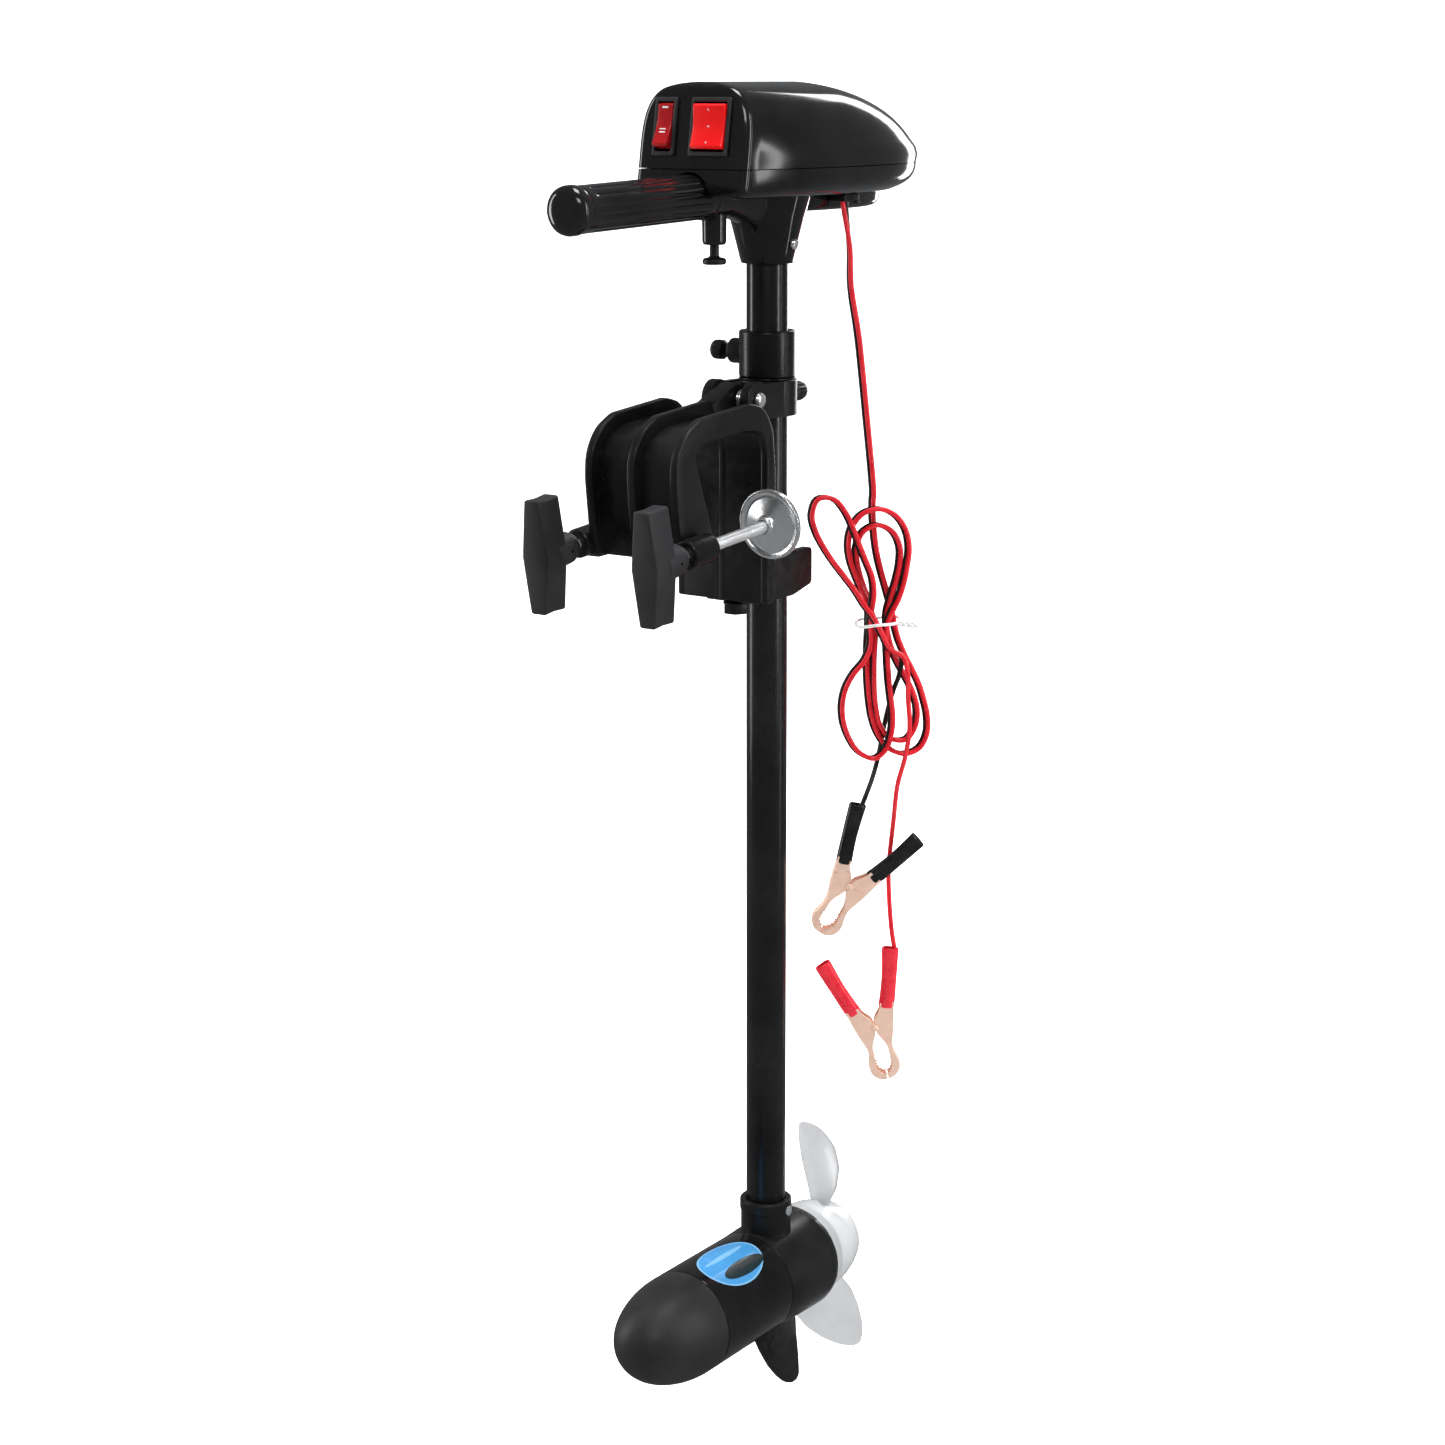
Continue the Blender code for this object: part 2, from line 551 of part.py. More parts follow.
# ---------------------------------------------------------------- tilt bracket
def tilt_bracket():
    bracket = realised(rod("tilt_bracket", BLOCK_R, BLOCK_BOTTOM, BLOCK_TOP, 32))
    join(bracket, block("tilt_middle", (-EAR_OUT, -21.5, BLOCK_BOTTOM + 0.5),
                        (EAR_OUT, 2, BLOCK_TOP - 0.5)))
    ear = [(2, BLOCK_TOP - 0.2)] + arc((PIN_Y, PIN_Z), EAR_R, range(54, 271, 24))
    ear += [(PIN_Y + 1, BLOCK_BOTTOM + 1.2), (-24, BLOCK_BOTTOM + 0.2), (2, BLOCK_BOTTOM + 0.2)]
    ear_face = EAR_OUT - 0.1  # just inside the middle block's sides
    for tag, low, high in (("left", -ear_face, -EAR_IN), ("right", EAR_IN, ear_face)):
        join(bracket, side_plate("ear_" + tag, ear, low, high))
    join(bracket, rod("tension_boss", 6.4, 11, 25), TENSION)
    cut(bracket, rod("bush_bore", 14.2, -70, -10, 32))
    cut(bracket, rod("ear_bore", PIN_R + FIT, -25, 25), HINGE)
    cut(bracket, rod("tension_bore", 2.7, 10, 30, 16), TENSION)
    put(bracket, "tilt", SATIN_BLACK)


def steering_bush():
    bush = turned("steering_bush", [
        (12.2, -48.0), (13.9, -48.0), (13.9, -27.7), (16.3, -27.7), (16.3, -26.95),
        (12.2, -26.95)], 32)
    put(bush, "tilt", SATIN_BLACK)


def tension_knob():
    knob = turned("tension_knob", [
        (0, 14.4), (2.5, 14.4), (2.5, 25.4), (5.6, 25.4), (5.9, 27), (5.9, 32), (5.2, 35.5),
        (3.2, 38), (0, 38.6)], 20)
    put(knob, "tension", SATIN_BLACK, TENSION)


# ---------------------------------------------------------------- depth collar
def depth_collar():
    bore_r = SHAFT_R + COLLAR_FIT
    collar = realised(ring("depth_collar", bore_r, COLLAR_R, -COLLAR_H, 0, 32))
    join(collar, rod("collar_boss", 7.3, 14.4, 23.8, 24), THUMB)
    cut(collar, rod("collar_reclear", bore_r, -40, 20, 32))
    cut(collar, rod("collar_screw_bore", 2.5, 8, 28, 16), THUMB)
    put(collar, "steering", SATIN_BLACK)


def collar_thumb_screw():
    thumb = turned("collar_thumb_screw", [
        (0, 12.35), (2.25, 12.35), (2.25, 29.4), (5.0, 29.4), (5.7, 30.4), (5.7, 35.6),
        (5.0, 36.6), (0, 36.6)], 20)
    put(thumb, "thumb", SATIN_BLACK, THUMB)


# ---------------------------------------------------------------- shaft tube and its lead
def shaft():
    tube = ring("shaft_tube", SHAFT_R - SHAFT_WALL, SHAFT_R, SHAFT_BOTTOM, SHAFT_TOP, 32)
    put(tube, "lift", SATIN_BLACK)
    lead = [(0, -9.0, -563.5), (0, -5, -560), (0, -1, -555), (0, 0, -548), (0, 0, -300),
            (0, 0, 58)]
    put(wire("motor_lead", lead, 2.0), "lift", BLACK_VINYL)


# ---------------------------------------------------------------- control head
UPPER_STATIONS = (HEAD_PART + SEAM_GAP, 104, 115, 123, 129, 133.5, 136.5, 138.3)  # z


def head_ring(z, inset, half=HEAD_HALF, stern=STERN_LEN, front_half=HEAD_FRONT_HALF, front=None):
    """Plan outline of the head: straight front, flaring sides, half-ellipse stern."""
    front_y = (panel_y(z) if front is None else front) + inset
    corner_y = front_y + 3.5
    front_half -= inset
    half -= inset
    stern -= inset
    right = [(front_half * 0.5, front_y), (max(front_half - 2.5, front_half * 0.6), front_y),
             (front_half, corner_y)]
    for t in (0.25, 0.5, 0.75):
        x = front_half + (half - front_half) * math.sin(math.pi / 2 * t)
        right.append((x, corner_y + (STERN_Y - corner_y) * t))
    for k in range(5):
        angle = math.pi / 2 * k / 5
        right.append((half * math.cos(angle), STERN_Y + stern * math.sin(angle)))
    left = [(-x, y) for x, y in right[::-1]]
    return [(x, y, z) for x, y in right + [(0, STERN_Y + stern)] + left + [(0, front_y)]]


def dome(z, power):
    """Scale of the upper shell's plan at height z: 1 at the part line, 0 at the top."""
    t = max(0.0, (z - HEAD_PART) / (HEAD_TOP - HEAD_PART))
    return max(0.0, 1 - t**power) ** (1 / power)


def upper_rings(inset):
    """Rings of the upper shell, or of its hollow, which starts lower and stops short."""
    rings = []
    hollow_foot = HEAD_PART - 6
    stretch = (HEAD_TOP - inset - hollow_foot) / (HEAD_TOP - HEAD_PART)
    for station in UPPER_STATIONS:
        z = dome_z = station
        if inset:
            z = hollow_foot + (station - HEAD_PART) * stretch
            dome_z = min(z + inset * 0.6, UPPER_STATIONS[-1])
        half = HEAD_HALF * dome(dome_z, 2.5)
        stern_scale = dome(dome_z, 1.75)
        stern = STERN_LEN * stern_scale - 14 * (1 - stern_scale)
        front_half = min(HEAD_FRONT_HALF * dome(dome_z, 5.2), half)
        rings.append(head_ring(z, inset, half, stern, front_half))
    return rings


def head_upper_shell():
    shell = loft("head_upper_shell", upper_rings(0.0))
    cut(shell, loft("upper_hollow", upper_rings(HEAD_WALL)))
    for tag, x, width, _ in SWITCHES:
        half_w, half_h = width / 2 - 0.8, SWITCH_H / 2 - 1.4
        slot = block(tag + "_slot", (-half_w, -12, -half_h), (half_w, 12, half_h))
        cut(shell, slot, switch_frame(x))
    put(shell, "lift", GLOSS_BLACK)


def belly():
    """The tapered box under the lower shell."""
    plan = ((19.5, -22), (19.5, 88), (16, 101), (8, 108), (-8, 108), (-16, 101), (-19.5, 88),
            (-19.5, -22))
    stations = ((66.5, 0.82, 0.88), (68.5, 0.95, 0.97), (72, 1, 1), (80, 1, 1))  # z, x and y scale
    centre_y = 38
    return loft("belly", [[(x * scale_x, centre_y + (y - centre_y) * scale_y, z) for x, y in plan]
                          for z, scale_x, scale_y in stations])


def head_lower_shell():
    shell = loft("head_lower_shell", [
        head_ring(HEAD_BOTTOM, 4.5, front=HEAD_FRONT - 1.6),
        head_ring(78.5, 1.4, front=HEAD_FRONT - 1.4),
        head_ring(82, 0.2, front=HEAD_FRONT - 1.0),
        head_ring(HEAD_PART - SEAM_GAP, 0.0)])
    join(shell, belly())
    join(shell, turned("neck", [
        (0, NECK_BOTTOM), (NECK_BOTTOM_R - 1, NECK_BOTTOM), (NECK_BOTTOM_R, NECK_BOTTOM + 1.2),
        (NECK_TOP_R, 77.5), (0, 77.5)], 32))
    join(shell, rod("barrel", 12.0, -56, 0, 28), TILLER)
    pin_boss = [(0, 50.5), (5.9, 50.5), (6.6, 52), (6.8, 70), (0, 70)]
    join(shell, turned("pin_boss", pin_boss, 20), PULL_PIN)
    cut(shell, loft("lower_hollow", [
        head_ring(79.6, HEAD_WALL + 1.6, front=HEAD_FRONT + 0.5),
        head_ring(100, HEAD_WALL, front=HEAD_FRONT + 0.5)]))
    cut(shell, block("belly_hollow", (-15, 29, 69.5), (15, 73, 84)))
    cut(shell, block("lead_slot", (22.5, 34.5, 70), (29.5, 46.5, 84)))
    cut(shell, rod("shaft_socket", SHAFT_R + CLOSE_FIT, 30, 90, 32))
    cut(shell, rod("neck_screw_bore", 1.9, 12, 24, 12), NECK_SCREW)
    cut(shell, rod("grip_notch", 13.7, -0.8, 29.2, 26), TILLER)
    cut(shell, rod("tube_bore", TUBE_R + 0.3, -95, 35, 28), TILLER)
    cut(shell, rod("pin_bore", 2.9, 45, 85, 16), PULL_PIN)
    cut(shell, rod("spring_bore", 5.0, 53, 66.6, 16), PULL_PIN)
    put(shell, "lift", GLOSS_BLACK)


def neck_screw():
    screw = turned("neck_screw", [
        (0, 12.3), (1.6, 12.3), (1.6, 18.2), (3.1, 18.2), (3.1, 19.0), (2.0, 20.2),
        (0, 20.2)], 14)
    put(screw, "lift", ZINC, NECK_SCREW)


# ---------------------------------------------------------------- rocker switches
# (y from the panel face, z from the switch centre): the front face is slightly hollow
# and both its ends stand proud of the bezel
ROCKER = [(-4.6, 12), (-3.6, 8), (-3.0, 0), (-3.6, -8), (-4.6, -12), (3.0, -12), (6.0, -6),
          (6.0, 6), (3.0, 12)]


def switch_housing(tag, x, width):
    at = switch_frame(x)
    half_w, half_h = width / 2, SWITCH_H / 2
    housing = block(tag + "_switch_housing", (-half_w, -2.0, -half_h), (half_w, -0.15, half_h))
    join(housing, block(tag + "_case", (-half_w + 1.1, -1.0, -half_h + 1.8),
                        (half_w - 1.1, 20, half_h - 1.8)), at)
    cut(housing, block(tag + "_well", (-half_w + 2.0, -9, -13.3), (half_w - 2.0, 12, 13.3)), at)
    put(housing, "lift", SATIN_BLACK, at)


def rocker(tag, x, width, lean):
    outline = [(y - ROCKER_DEPTH, z) for y, z in ROCKER]
    half_w = width / 2 - 2.4
    piece = side_plate(tag + "_rocker", outline, -half_w, half_w)
    tilt = Matrix.Rotation(math.radians(lean), 4, "X")
    put(piece, tag + "_rocker", RED_SWITCH, rocker_frame(x) @ tilt @ SIDE)


def switches():
    for tag, x, width, lean in SWITCHES:
        switch_housing(tag, x, width)
        rocker(tag, x, width, lean)


# ---------------------------------------------------------------- telescoping tiller
def tiller():
    put(ring("tiller_tube", TUBE_R - 1.5, TUBE_R, -87, 120), "tiller", STEEL, TILLER)
    grip = turned("tiller_grip", [
        (TUBE_R + FIT, 0.6), (13.2, 0.6), (13.2, 3.0), (GRIP_R, 3.6), (GRIP_R, 118),
        (GRIP_R + 0.5, 119), (GRIP_R + 0.5, 123), (10, GRIP_LEN - 1), (0, GRIP_LEN),
        (0, 121), (TUBE_R + FIT, 121)], 24)
    put(grip, "tiller", GLOSS_BLACK, TILLER)


def pull_pin():
    tube_bottom = TILLER_Z + (PULL_PIN_Y - TILLER_Y) * math.tan(TILLER_DROOP) - TUBE_R
    pin_top = tube_bottom - 0.35
    pin = turned("pull_pin", [
        (0, 40.2), (5.8, 40.2), (6.6, 41), (6.6, 42.6), (5.8, 43.4), (PULL_PIN_R, 43.4),
        (PULL_PIN_R, 64.4), (4.5, 64.4), (4.5, 65.8), (PULL_PIN_R, 65.8), (PULL_PIN_R, pin_top),
        (0, pin_top)], 20)
    put(pin, "pull", SATIN_BLACK, PULL_PIN)


def pull_pin_spring():
    coil_r, low, height, per_turn, count = 3.85, 54.0, 9.6, 8, 40
    coil = []
    for k in range(count + 1):
        angle = 2 * math.pi * k / per_turn
        coil.append((coil_r * math.cos(angle), PULL_PIN_Y + coil_r * math.sin(angle),
                     low + height * k / count))
    put(wire("pull_pin_spring", coil, 0.45, bevel_resolution=0), "lift", ZINC)


# ---------------------------------------------------------------- battery cable
def strain_relief():
    relief = block("strain_relief", (20.6, 32.5, 71.0), (31.4, 48.5, 76.1))
    cut(relief, block("relief_slot", (23.8, 36.2, 60), (28.2, 44.8, 90)))
    put(relief, "lift", BLACK_VINYL)


def battery_lead(tag, look, offset, tail):
    exit_y = 40.5 + offset * 1.3
    path = [(26.0, exit_y, 82.0), (26.0, exit_y, 69.5)]
    path += [hang(across, z, depth + offset) for across, z, depth in CABLE_DROP]
    path += [hang(across, z, CABLE_DEPTH + depth + offset) for across, z, depth in CABLE_LOOPS]
    path += [hang(*station) for station in tail]
    put(wire(tag + "_battery_lead", path, WIRE_R, bevel_resolution=0), "lift", look)


def cable_tie():
    loop = []
    for k in range(16):
        angle = 2 * math.pi * k / 16
        loop.append(hang(66.5 + 13.5 * math.cos(angle), -178 + 1.2 * math.cos(angle),
                         CABLE_DEPTH - 0.8 + 15.0 * math.sin(angle)))
    put(wire("cable_tie", loop, 0.9, cyclic=True), "lift", WHITE_TIE)


def battery_cable():
    strain_relief()
    battery_lead("red", RED_VINYL, -LEAD_OFFSET, RED_TAIL)
    battery_lead("black", BLACK_VINYL, LEAD_OFFSET, BLACK_TAIL)
    cable_tie()


# ---------------------------------------------------------------- battery clips
# One jaw from the rivet: (x across the jaws, y towards the boots)
JAW = [
    (0.2, -34), (4.5, -33.4), (8.2, -30), (9.2, -25), (7.9, -19), (7.9, -13), (10.6, -5),
    (13.2, 5.5), (14.0, 9.4), (6.2, 11.8), (4.2, 9.4), (2.4, 8.0), (1.1, 2.7), (2.4, 1.0),
    (2.4, -1.0), (0.3, -2.4), (0.3, -5), (3.0, -8), (5.0, -13), (5.0, -19), (5.6, -24),
    (3.8, -29.5), (0.2, -31),
]
# (distance along the boot, half width, half thickness)
BOOT_STATIONS = ((0.6, 4.6, 4.6), (10, 4.7, 4.3), (24, 4.9, 3.8), (36.5, 5.2, 3.6))
BOOT_LEAN = math.radians(17.5)
# name, boot material, rivet place, turn in the cable plane (degrees), side of the fixed jaw
CLIPS = (
    ("black", BLACK_VINYL, hang(50.6, -343.0, CABLE_DEPTH), -30.5, -1),
    ("red", RED_VINYL, hang(67.4, -434.0, CABLE_DEPTH), 14.5, 1),
)


def clip_boot(name, hand):
    lean = BOOT_LEAN * hand
    start = Vector((hand * 10.3, 11.2, 0))
    along = Vector((math.sin(lean), math.cos(lean), 0))
    across = Vector((math.cos(lean), -math.sin(lean), 0))
    rings = []
    for distance, half_w, half_t in BOOT_STATIONS:
        centre = start + along * distance
        points = []
        for k in range(10):
            angle = 2 * math.pi * (k + 0.5) / 10
            points.append(centre + across * (half_w * math.cos(angle))
                          + Vector((0, 0, half_t * math.sin(angle))))
        rings.append(points)
    return loft(name, rings)


def battery_clips():
    sin, cos = math.sin(CABLE_HEADING), math.cos(CABLE_HEADING)
    # local X across the cable plane, local Y up, local Z through the clip
    plane = Matrix(((cos, 0, sin, 0), (sin, 0, -cos, 0), (0, 1, 0, 0), (0, 0, 0, 1)))
    rivet_half = CLIP_T / 2 + 0.8
    for tag, look, rivet, turn, fixed_side in CLIPS:
        at = frame_at(rivet) @ plane @ Matrix.Rotation(math.radians(turn), 4, "Z")
        body(tag + "_clip_jaw", "lift", at)
        for part, hand, owner in (("fixed", fixed_side, "lift"),
                                  ("moving", -fixed_side, tag + "_clip_jaw")):
            outline = [(hand * x, y) for x, y in JAW]
            put(plate(f"{tag}_clip_{part}_jaw", outline, CLIP_T), owner, COPPER, at)
            put(clip_boot(f"{tag}_clip_{part}_boot", hand), owner, look, at)
        put(rod(tag + "_clip_rivet", 1.9, -rivet_half, rivet_half, 14), "lift", STEEL, at)


# ---------------------------------------------------------------- motor pod
# Turned outlines (radius, height); heights run aft along the motor axis
NOSE = [
    (0, NOSE_TIP), (6, NOSE_TIP + 0.9), (12, NOSE_TIP + 3.6), (18, NOSE_TIP + 8.4),
    (23.5, NOSE_TIP + 15.2), (27.8, NOSE_TIP + 23.6), (30.4, NOSE_TIP + 32.4),
    (MOTOR_R, NOSE_TIP + 41), (MOTOR_R, NOSE_SEAM - SEAM_GAP),
    (MOTOR_R - 2.8, NOSE_SEAM - SEAM_GAP), (MOTOR_R - 2.8, NOSE_SEAM + 4),
    (MOTOR_R - 6, NOSE_SEAM + 4), (MOTOR_R - 7, NOSE_SEAM - 3), (8.2, NOSE_SEAM - 3),
    (8.2, -97.5), (0, -97.5),
]
REAR = [
    (MOTOR_R, REAR_SEAM + SEAM_GAP), (MOTOR_R + 0.8, 8), (MOTOR_R + 1.2, 30.5),
    (MOTOR_R + 0.4, 33.8), (MOTOR_R - 1.6, REAR_FACE), (11, REAR_FACE),
    (ARM_R + 0.4, REAR_FACE), (ARM_R + 0.4, 34.6), (8.2, 34.6), (8.2, 22.5), (12, 22.5),
    (13, 29.5), (MOTOR_R - 4, 29), (REAR_INNER_R, REAR_SEAM + SEAM_GAP),
]
# Skeg below the rear housing, side view (y, z)
FIN = [
    (-16.2, -606), (-13, -618), (-5, -632), (4, -645), (13, -655), (21.5, -662.5),
    (28, FIN_BOTTOM), (34, FIN_BOTTOM), (36.6, -662), (35.6, -650), (33, -632), (31, -606),
]


def motor_body():
    can = ring("motor_body", MOTOR_R - 2.5, MOTOR_R, NOSE_SEAM + SEAM_GAP,
               REAR_SEAM - SEAM_GAP, 40)
    put(can, "lift", GLOSS_BLACK, MOTOR)


def nose_cone():
    nose = realised(turned("nose_cone", NOSE, 40))
    for _, sign in SIDES:
        bore = rod(f"nose_bolt_bore_{sign + 1}", THROUGH_BORE_R, -98, -76, 12)
        cut(nose, bore, through_bolt_frame(sign))
    put(nose, "lift", SATIN_BLACK, MOTOR)


def rear_housing():
    rear = realised(turned("rear_housing", REAR, 40))
    join(rear, turned("shaft_boss", [
        (0, -560), (17.0, -560), (16.7, -549), (SOCKET_R + 0.4, -544), (SOCKET_R, -540),
        (SOCKET_R, SOCKET_TOP + 0.8), (SOCKET_R - 0.8, SOCKET_TOP), (0, SOCKET_TOP)], 32))
    join(rear, side_plate("fin", FIN, -1.9, 1.9))
    cut(rear, turned("rear_hollow", [
        (0, -40), (REAR_INNER_R, -40), (REAR_INNER_R, 28.8), (13.2, 28.8), (13.2, 22.2),
        (0, 22.2)], 40), MOTOR)
    cut(rear, rod("shaft_pocket", SHAFT_R + CLOSE_FIT, -545, -505, 32))
    cut(rear, rod("lead_bore", 4.5, -575, -535, 16))
    for _, sign in SIDES:
        at = through_bolt_frame(sign)
        cut(rear, rod(f"rear_bolt_bore_{sign + 1}", THROUGH_BORE_R, 15, 45, 12), at)
        cut(rear, rod(f"rear_bolt_sink_{sign + 1}", 3.2, 32.6, 42.6, 14), at)
    cut(rear, rod("socket_screw_bore", 1.9, 10, 20, 12), SOCKET_SCREW)
    put(rear, "lift", SATIN_BLACK, MOTOR)


def motor_screws():
    for side, sign in SIDES:
        bolt = turned("through_bolt_" + side, [
            (0, -95), (1.6, -95), (1.6, 32.9), (2.9, 32.9), (2.9, 35.0), (0, 35.0)], 12)
        put(bolt, "lift", STEEL, through_bolt_frame(sign))
    screw = turned("socket_screw", [
        (0, 12.3), (1.6, 12.3), (1.6, 16.2), (2.9, 16.2), (2.9, 17.3), (0, 17.9)], 14)
    put(screw, "lift", ZINC, SOCKET_SCREW)


def magnets():
    outline = arc((0, 0), 28.7, range(32, 149, 13)) + arc((0, 0), 22.6, range(148, 31, -13))
    at = frame_at((0, -54, MOTOR_Z), ALONG_Y)
    for tag, flip in (("top", -1), ("bottom", 1)):  # local Y points down
        magnet = plate("magnet_" + tag, [(x, flip * y) for x, y in outline], 46.0)
        put(magnet, "lift", FERRITE, at)


def motor_rings():
    for name, low, high, look in (("nose_bearing", -96.6, -90.6, BRASS),
                                  ("rear_bearing", 22.7, 28.7, BRASS),
                                  ("shaft_seal", 29.2, 34.3, SEAL_RUBBER)):
        piece = ring(name, ARM_R + BEARING_FIT, BEARING_R, low, high, 20)
        put(piece, "lift", look, MOTOR)
    put(ring("brush_holder", 12.6, 23.4, -19.0, -14.6, 24), "lift", ACETAL, MOTOR)


# ---------------------------------------------------------------- rotor and propeller
ROTOR_FIT = 0.12  # radial clearance of commutator and propeller on the armature shaft
ARMATURE = [
    (0, -96), (ARM_R, -96), (ARM_R, -80), (15, -79), (19.5, -76), (20.5, -73), (20.5, -35),
    (19.5, -32), (15, -29), (ARM_R, -28.4), (ARM_R, 62.5), (0, 62.5),
]
HUB = [
    (29.0, 36.4), (28.9, 48), (27.4, 60), (22.6, 73.6), (20.2, 72.9), (24.6, 60), (25.8, 48),
    (25.8, 45.6), (9.0, 45.6), (9.0, 56.0), (ARM_R + ROTOR_FIT, 56.0),
    (ARM_R + ROTOR_FIT, 37.6), (9.0, 37.6), (9.0, 42.0), (26.0, 42.0), (26.4, 36.4),
]
# (radius, chord, pitch in degrees, thickness, sweep, rake)
BLADE_STATIONS = (
    (25.5, 30, -34, 3.6, 6.5, 0.2), (36, 41, -28, 3.2, 8.5, 3), (49, 43, -22, 2.6, 8.6, 6),
    (61, 37, -18, 2.1, 6.6, 9), (69, 27, -15, 1.7, 2.6, 11), (PROP_R, 12, -14, 1.3, -1.4, 12),
)
# (fraction of the chord, fraction of the thickness)
BLADE_SECTION = (
    (-0.5, 0.12), (-0.25, 0.42), (0.05, 0.5), (0.3, 0.36), (0.5, 0.1),
    (0.5, -0.1), (0.3, -0.36), (0.05, -0.5), (-0.25, -0.42), (-0.5, -0.12),
)


def armature():
    rotor = realised(turned("armature", ARMATURE))
    cut(rotor, rod("rotor_pin_bore", 1.75, -10, 10, 12), DRIVE_PIN)
    put(rotor, "propeller", WINDING, MOTOR)
    commutator = ring("commutator", ARM_R + ROTOR_FIT, 11.0, -27.9, -12.5, 24)
    put(commutator, "propeller", COPPER, MOTOR)


def blade(name, angle):
    radial = Vector((math.cos(angle), 0, math.sin(angle)))
    # the way the blade moves for positive spin about +Y
    ahead = Vector((math.sin(angle), 0, -math.cos(angle)))
    rings = []
    for radius, chord, pitch, thickness, sweep, rake in BLADE_STATIONS:
        pitch = math.radians(pitch)
        along = ahead * math.cos(pitch) + Vector(ALONG_Y) * math.sin(pitch)
        normal = along.cross(radial).normalized()
        centre = radial * radius + Vector((0, BLADE_Y + rake, MOTOR_Z)) + ahead * sweep
        rings.append([centre + along * (c * chord) + normal * (t * thickness)
                      for c, t in BLADE_SECTION])
    return loft(name, rings)


def propeller():
    prop = realised(turned("propeller", HUB, 32))
    join(prop, blade("blade_a", PROP_ANGLE))
    join(prop, blade("blade_b", PROP_ANGLE + math.pi))
    cut(prop, rod("prop_pin_bore", 1.8, -15, 15, 12), DRIVE_PIN)
    put(prop, "propeller", CLEAR, MOTOR)
    put(rod("drive_pin", 1.5, -9.8, 9.8, 12), "propeller", STEEL, DRIVE_PIN)
    # six steps make the nut hexagonal
    put(ring("prop_nut", ARM_R + 0.85, 7.0, 56.4, 61.8, 6), "propeller", ZINC, MOTOR)


# ---------------------------------------------------------------- build
for build in (
    make_bodies,
    clamp_bracket, shaft_saddle, saddle_bolt,
    hinge_pin, tilt_spring, clamp_screws,
    tilt_bracket, steering_bush, tension_knob,
    depth_collar, collar_thumb_screw, shaft,
    head_upper_shell, head_lower_shell, neck_screw, switches,
    tiller, pull_pin, pull_pin_spring,
    battery_cable, battery_clips,
    motor_body, nose_cone, rear_housing, motor_screws, magnets, motor_rings,
    armature, propeller,
):
    build()
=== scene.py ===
"""Looks of a transom-mount electric trolling motor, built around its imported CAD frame.

Meshes are drawn in design millimetres. The steering axis is z and the origin is at the depth
collar's top. Tiller, switches and nose cone point along -y (the front), the propeller lies
towards +y (the rear), and x runs across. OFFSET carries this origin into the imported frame.
"""

import json
from math import acos, atan2, copysign, cos, hypot, pi, radians, sin, sqrt, tan

import bmesh
import bpy
import numpy as np
from mathutils import Matrix, Vector


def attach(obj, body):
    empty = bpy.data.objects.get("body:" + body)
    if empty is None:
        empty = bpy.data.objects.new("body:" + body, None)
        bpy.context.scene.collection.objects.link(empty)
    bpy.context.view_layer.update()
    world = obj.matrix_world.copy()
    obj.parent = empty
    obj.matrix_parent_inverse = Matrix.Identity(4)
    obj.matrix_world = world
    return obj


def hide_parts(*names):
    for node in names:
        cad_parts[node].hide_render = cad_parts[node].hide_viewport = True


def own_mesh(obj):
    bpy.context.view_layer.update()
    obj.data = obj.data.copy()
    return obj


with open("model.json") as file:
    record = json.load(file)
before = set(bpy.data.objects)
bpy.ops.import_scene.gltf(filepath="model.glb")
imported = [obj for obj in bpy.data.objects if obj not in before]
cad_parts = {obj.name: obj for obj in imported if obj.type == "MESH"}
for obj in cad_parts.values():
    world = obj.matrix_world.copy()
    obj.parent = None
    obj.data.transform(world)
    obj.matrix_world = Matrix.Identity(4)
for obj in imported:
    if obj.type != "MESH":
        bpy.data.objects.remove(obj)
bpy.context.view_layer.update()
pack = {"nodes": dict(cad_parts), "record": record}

MILLIMETRE = 0.001
OFFSET = np.array([0.0, 46.0, 90.0])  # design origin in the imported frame, mm


# ------------------------------------------------------------------ shader nodes
def feed(tree, socket, value):
    """Links a socket to the input, or sets the input's value."""
    if isinstance(value, bpy.types.NodeSocket):
        tree.links.new(value, socket)
    else:
        socket.default_value = value


def add_node(tree, kind, inputs=(), **settings):
    node = tree.nodes.new("ShaderNode" + kind)
    for key, value in settings.items():
        setattr(node, key, value)
    for key, value in dict(inputs).items():
        feed(tree, node.inputs[key], value)
    return node


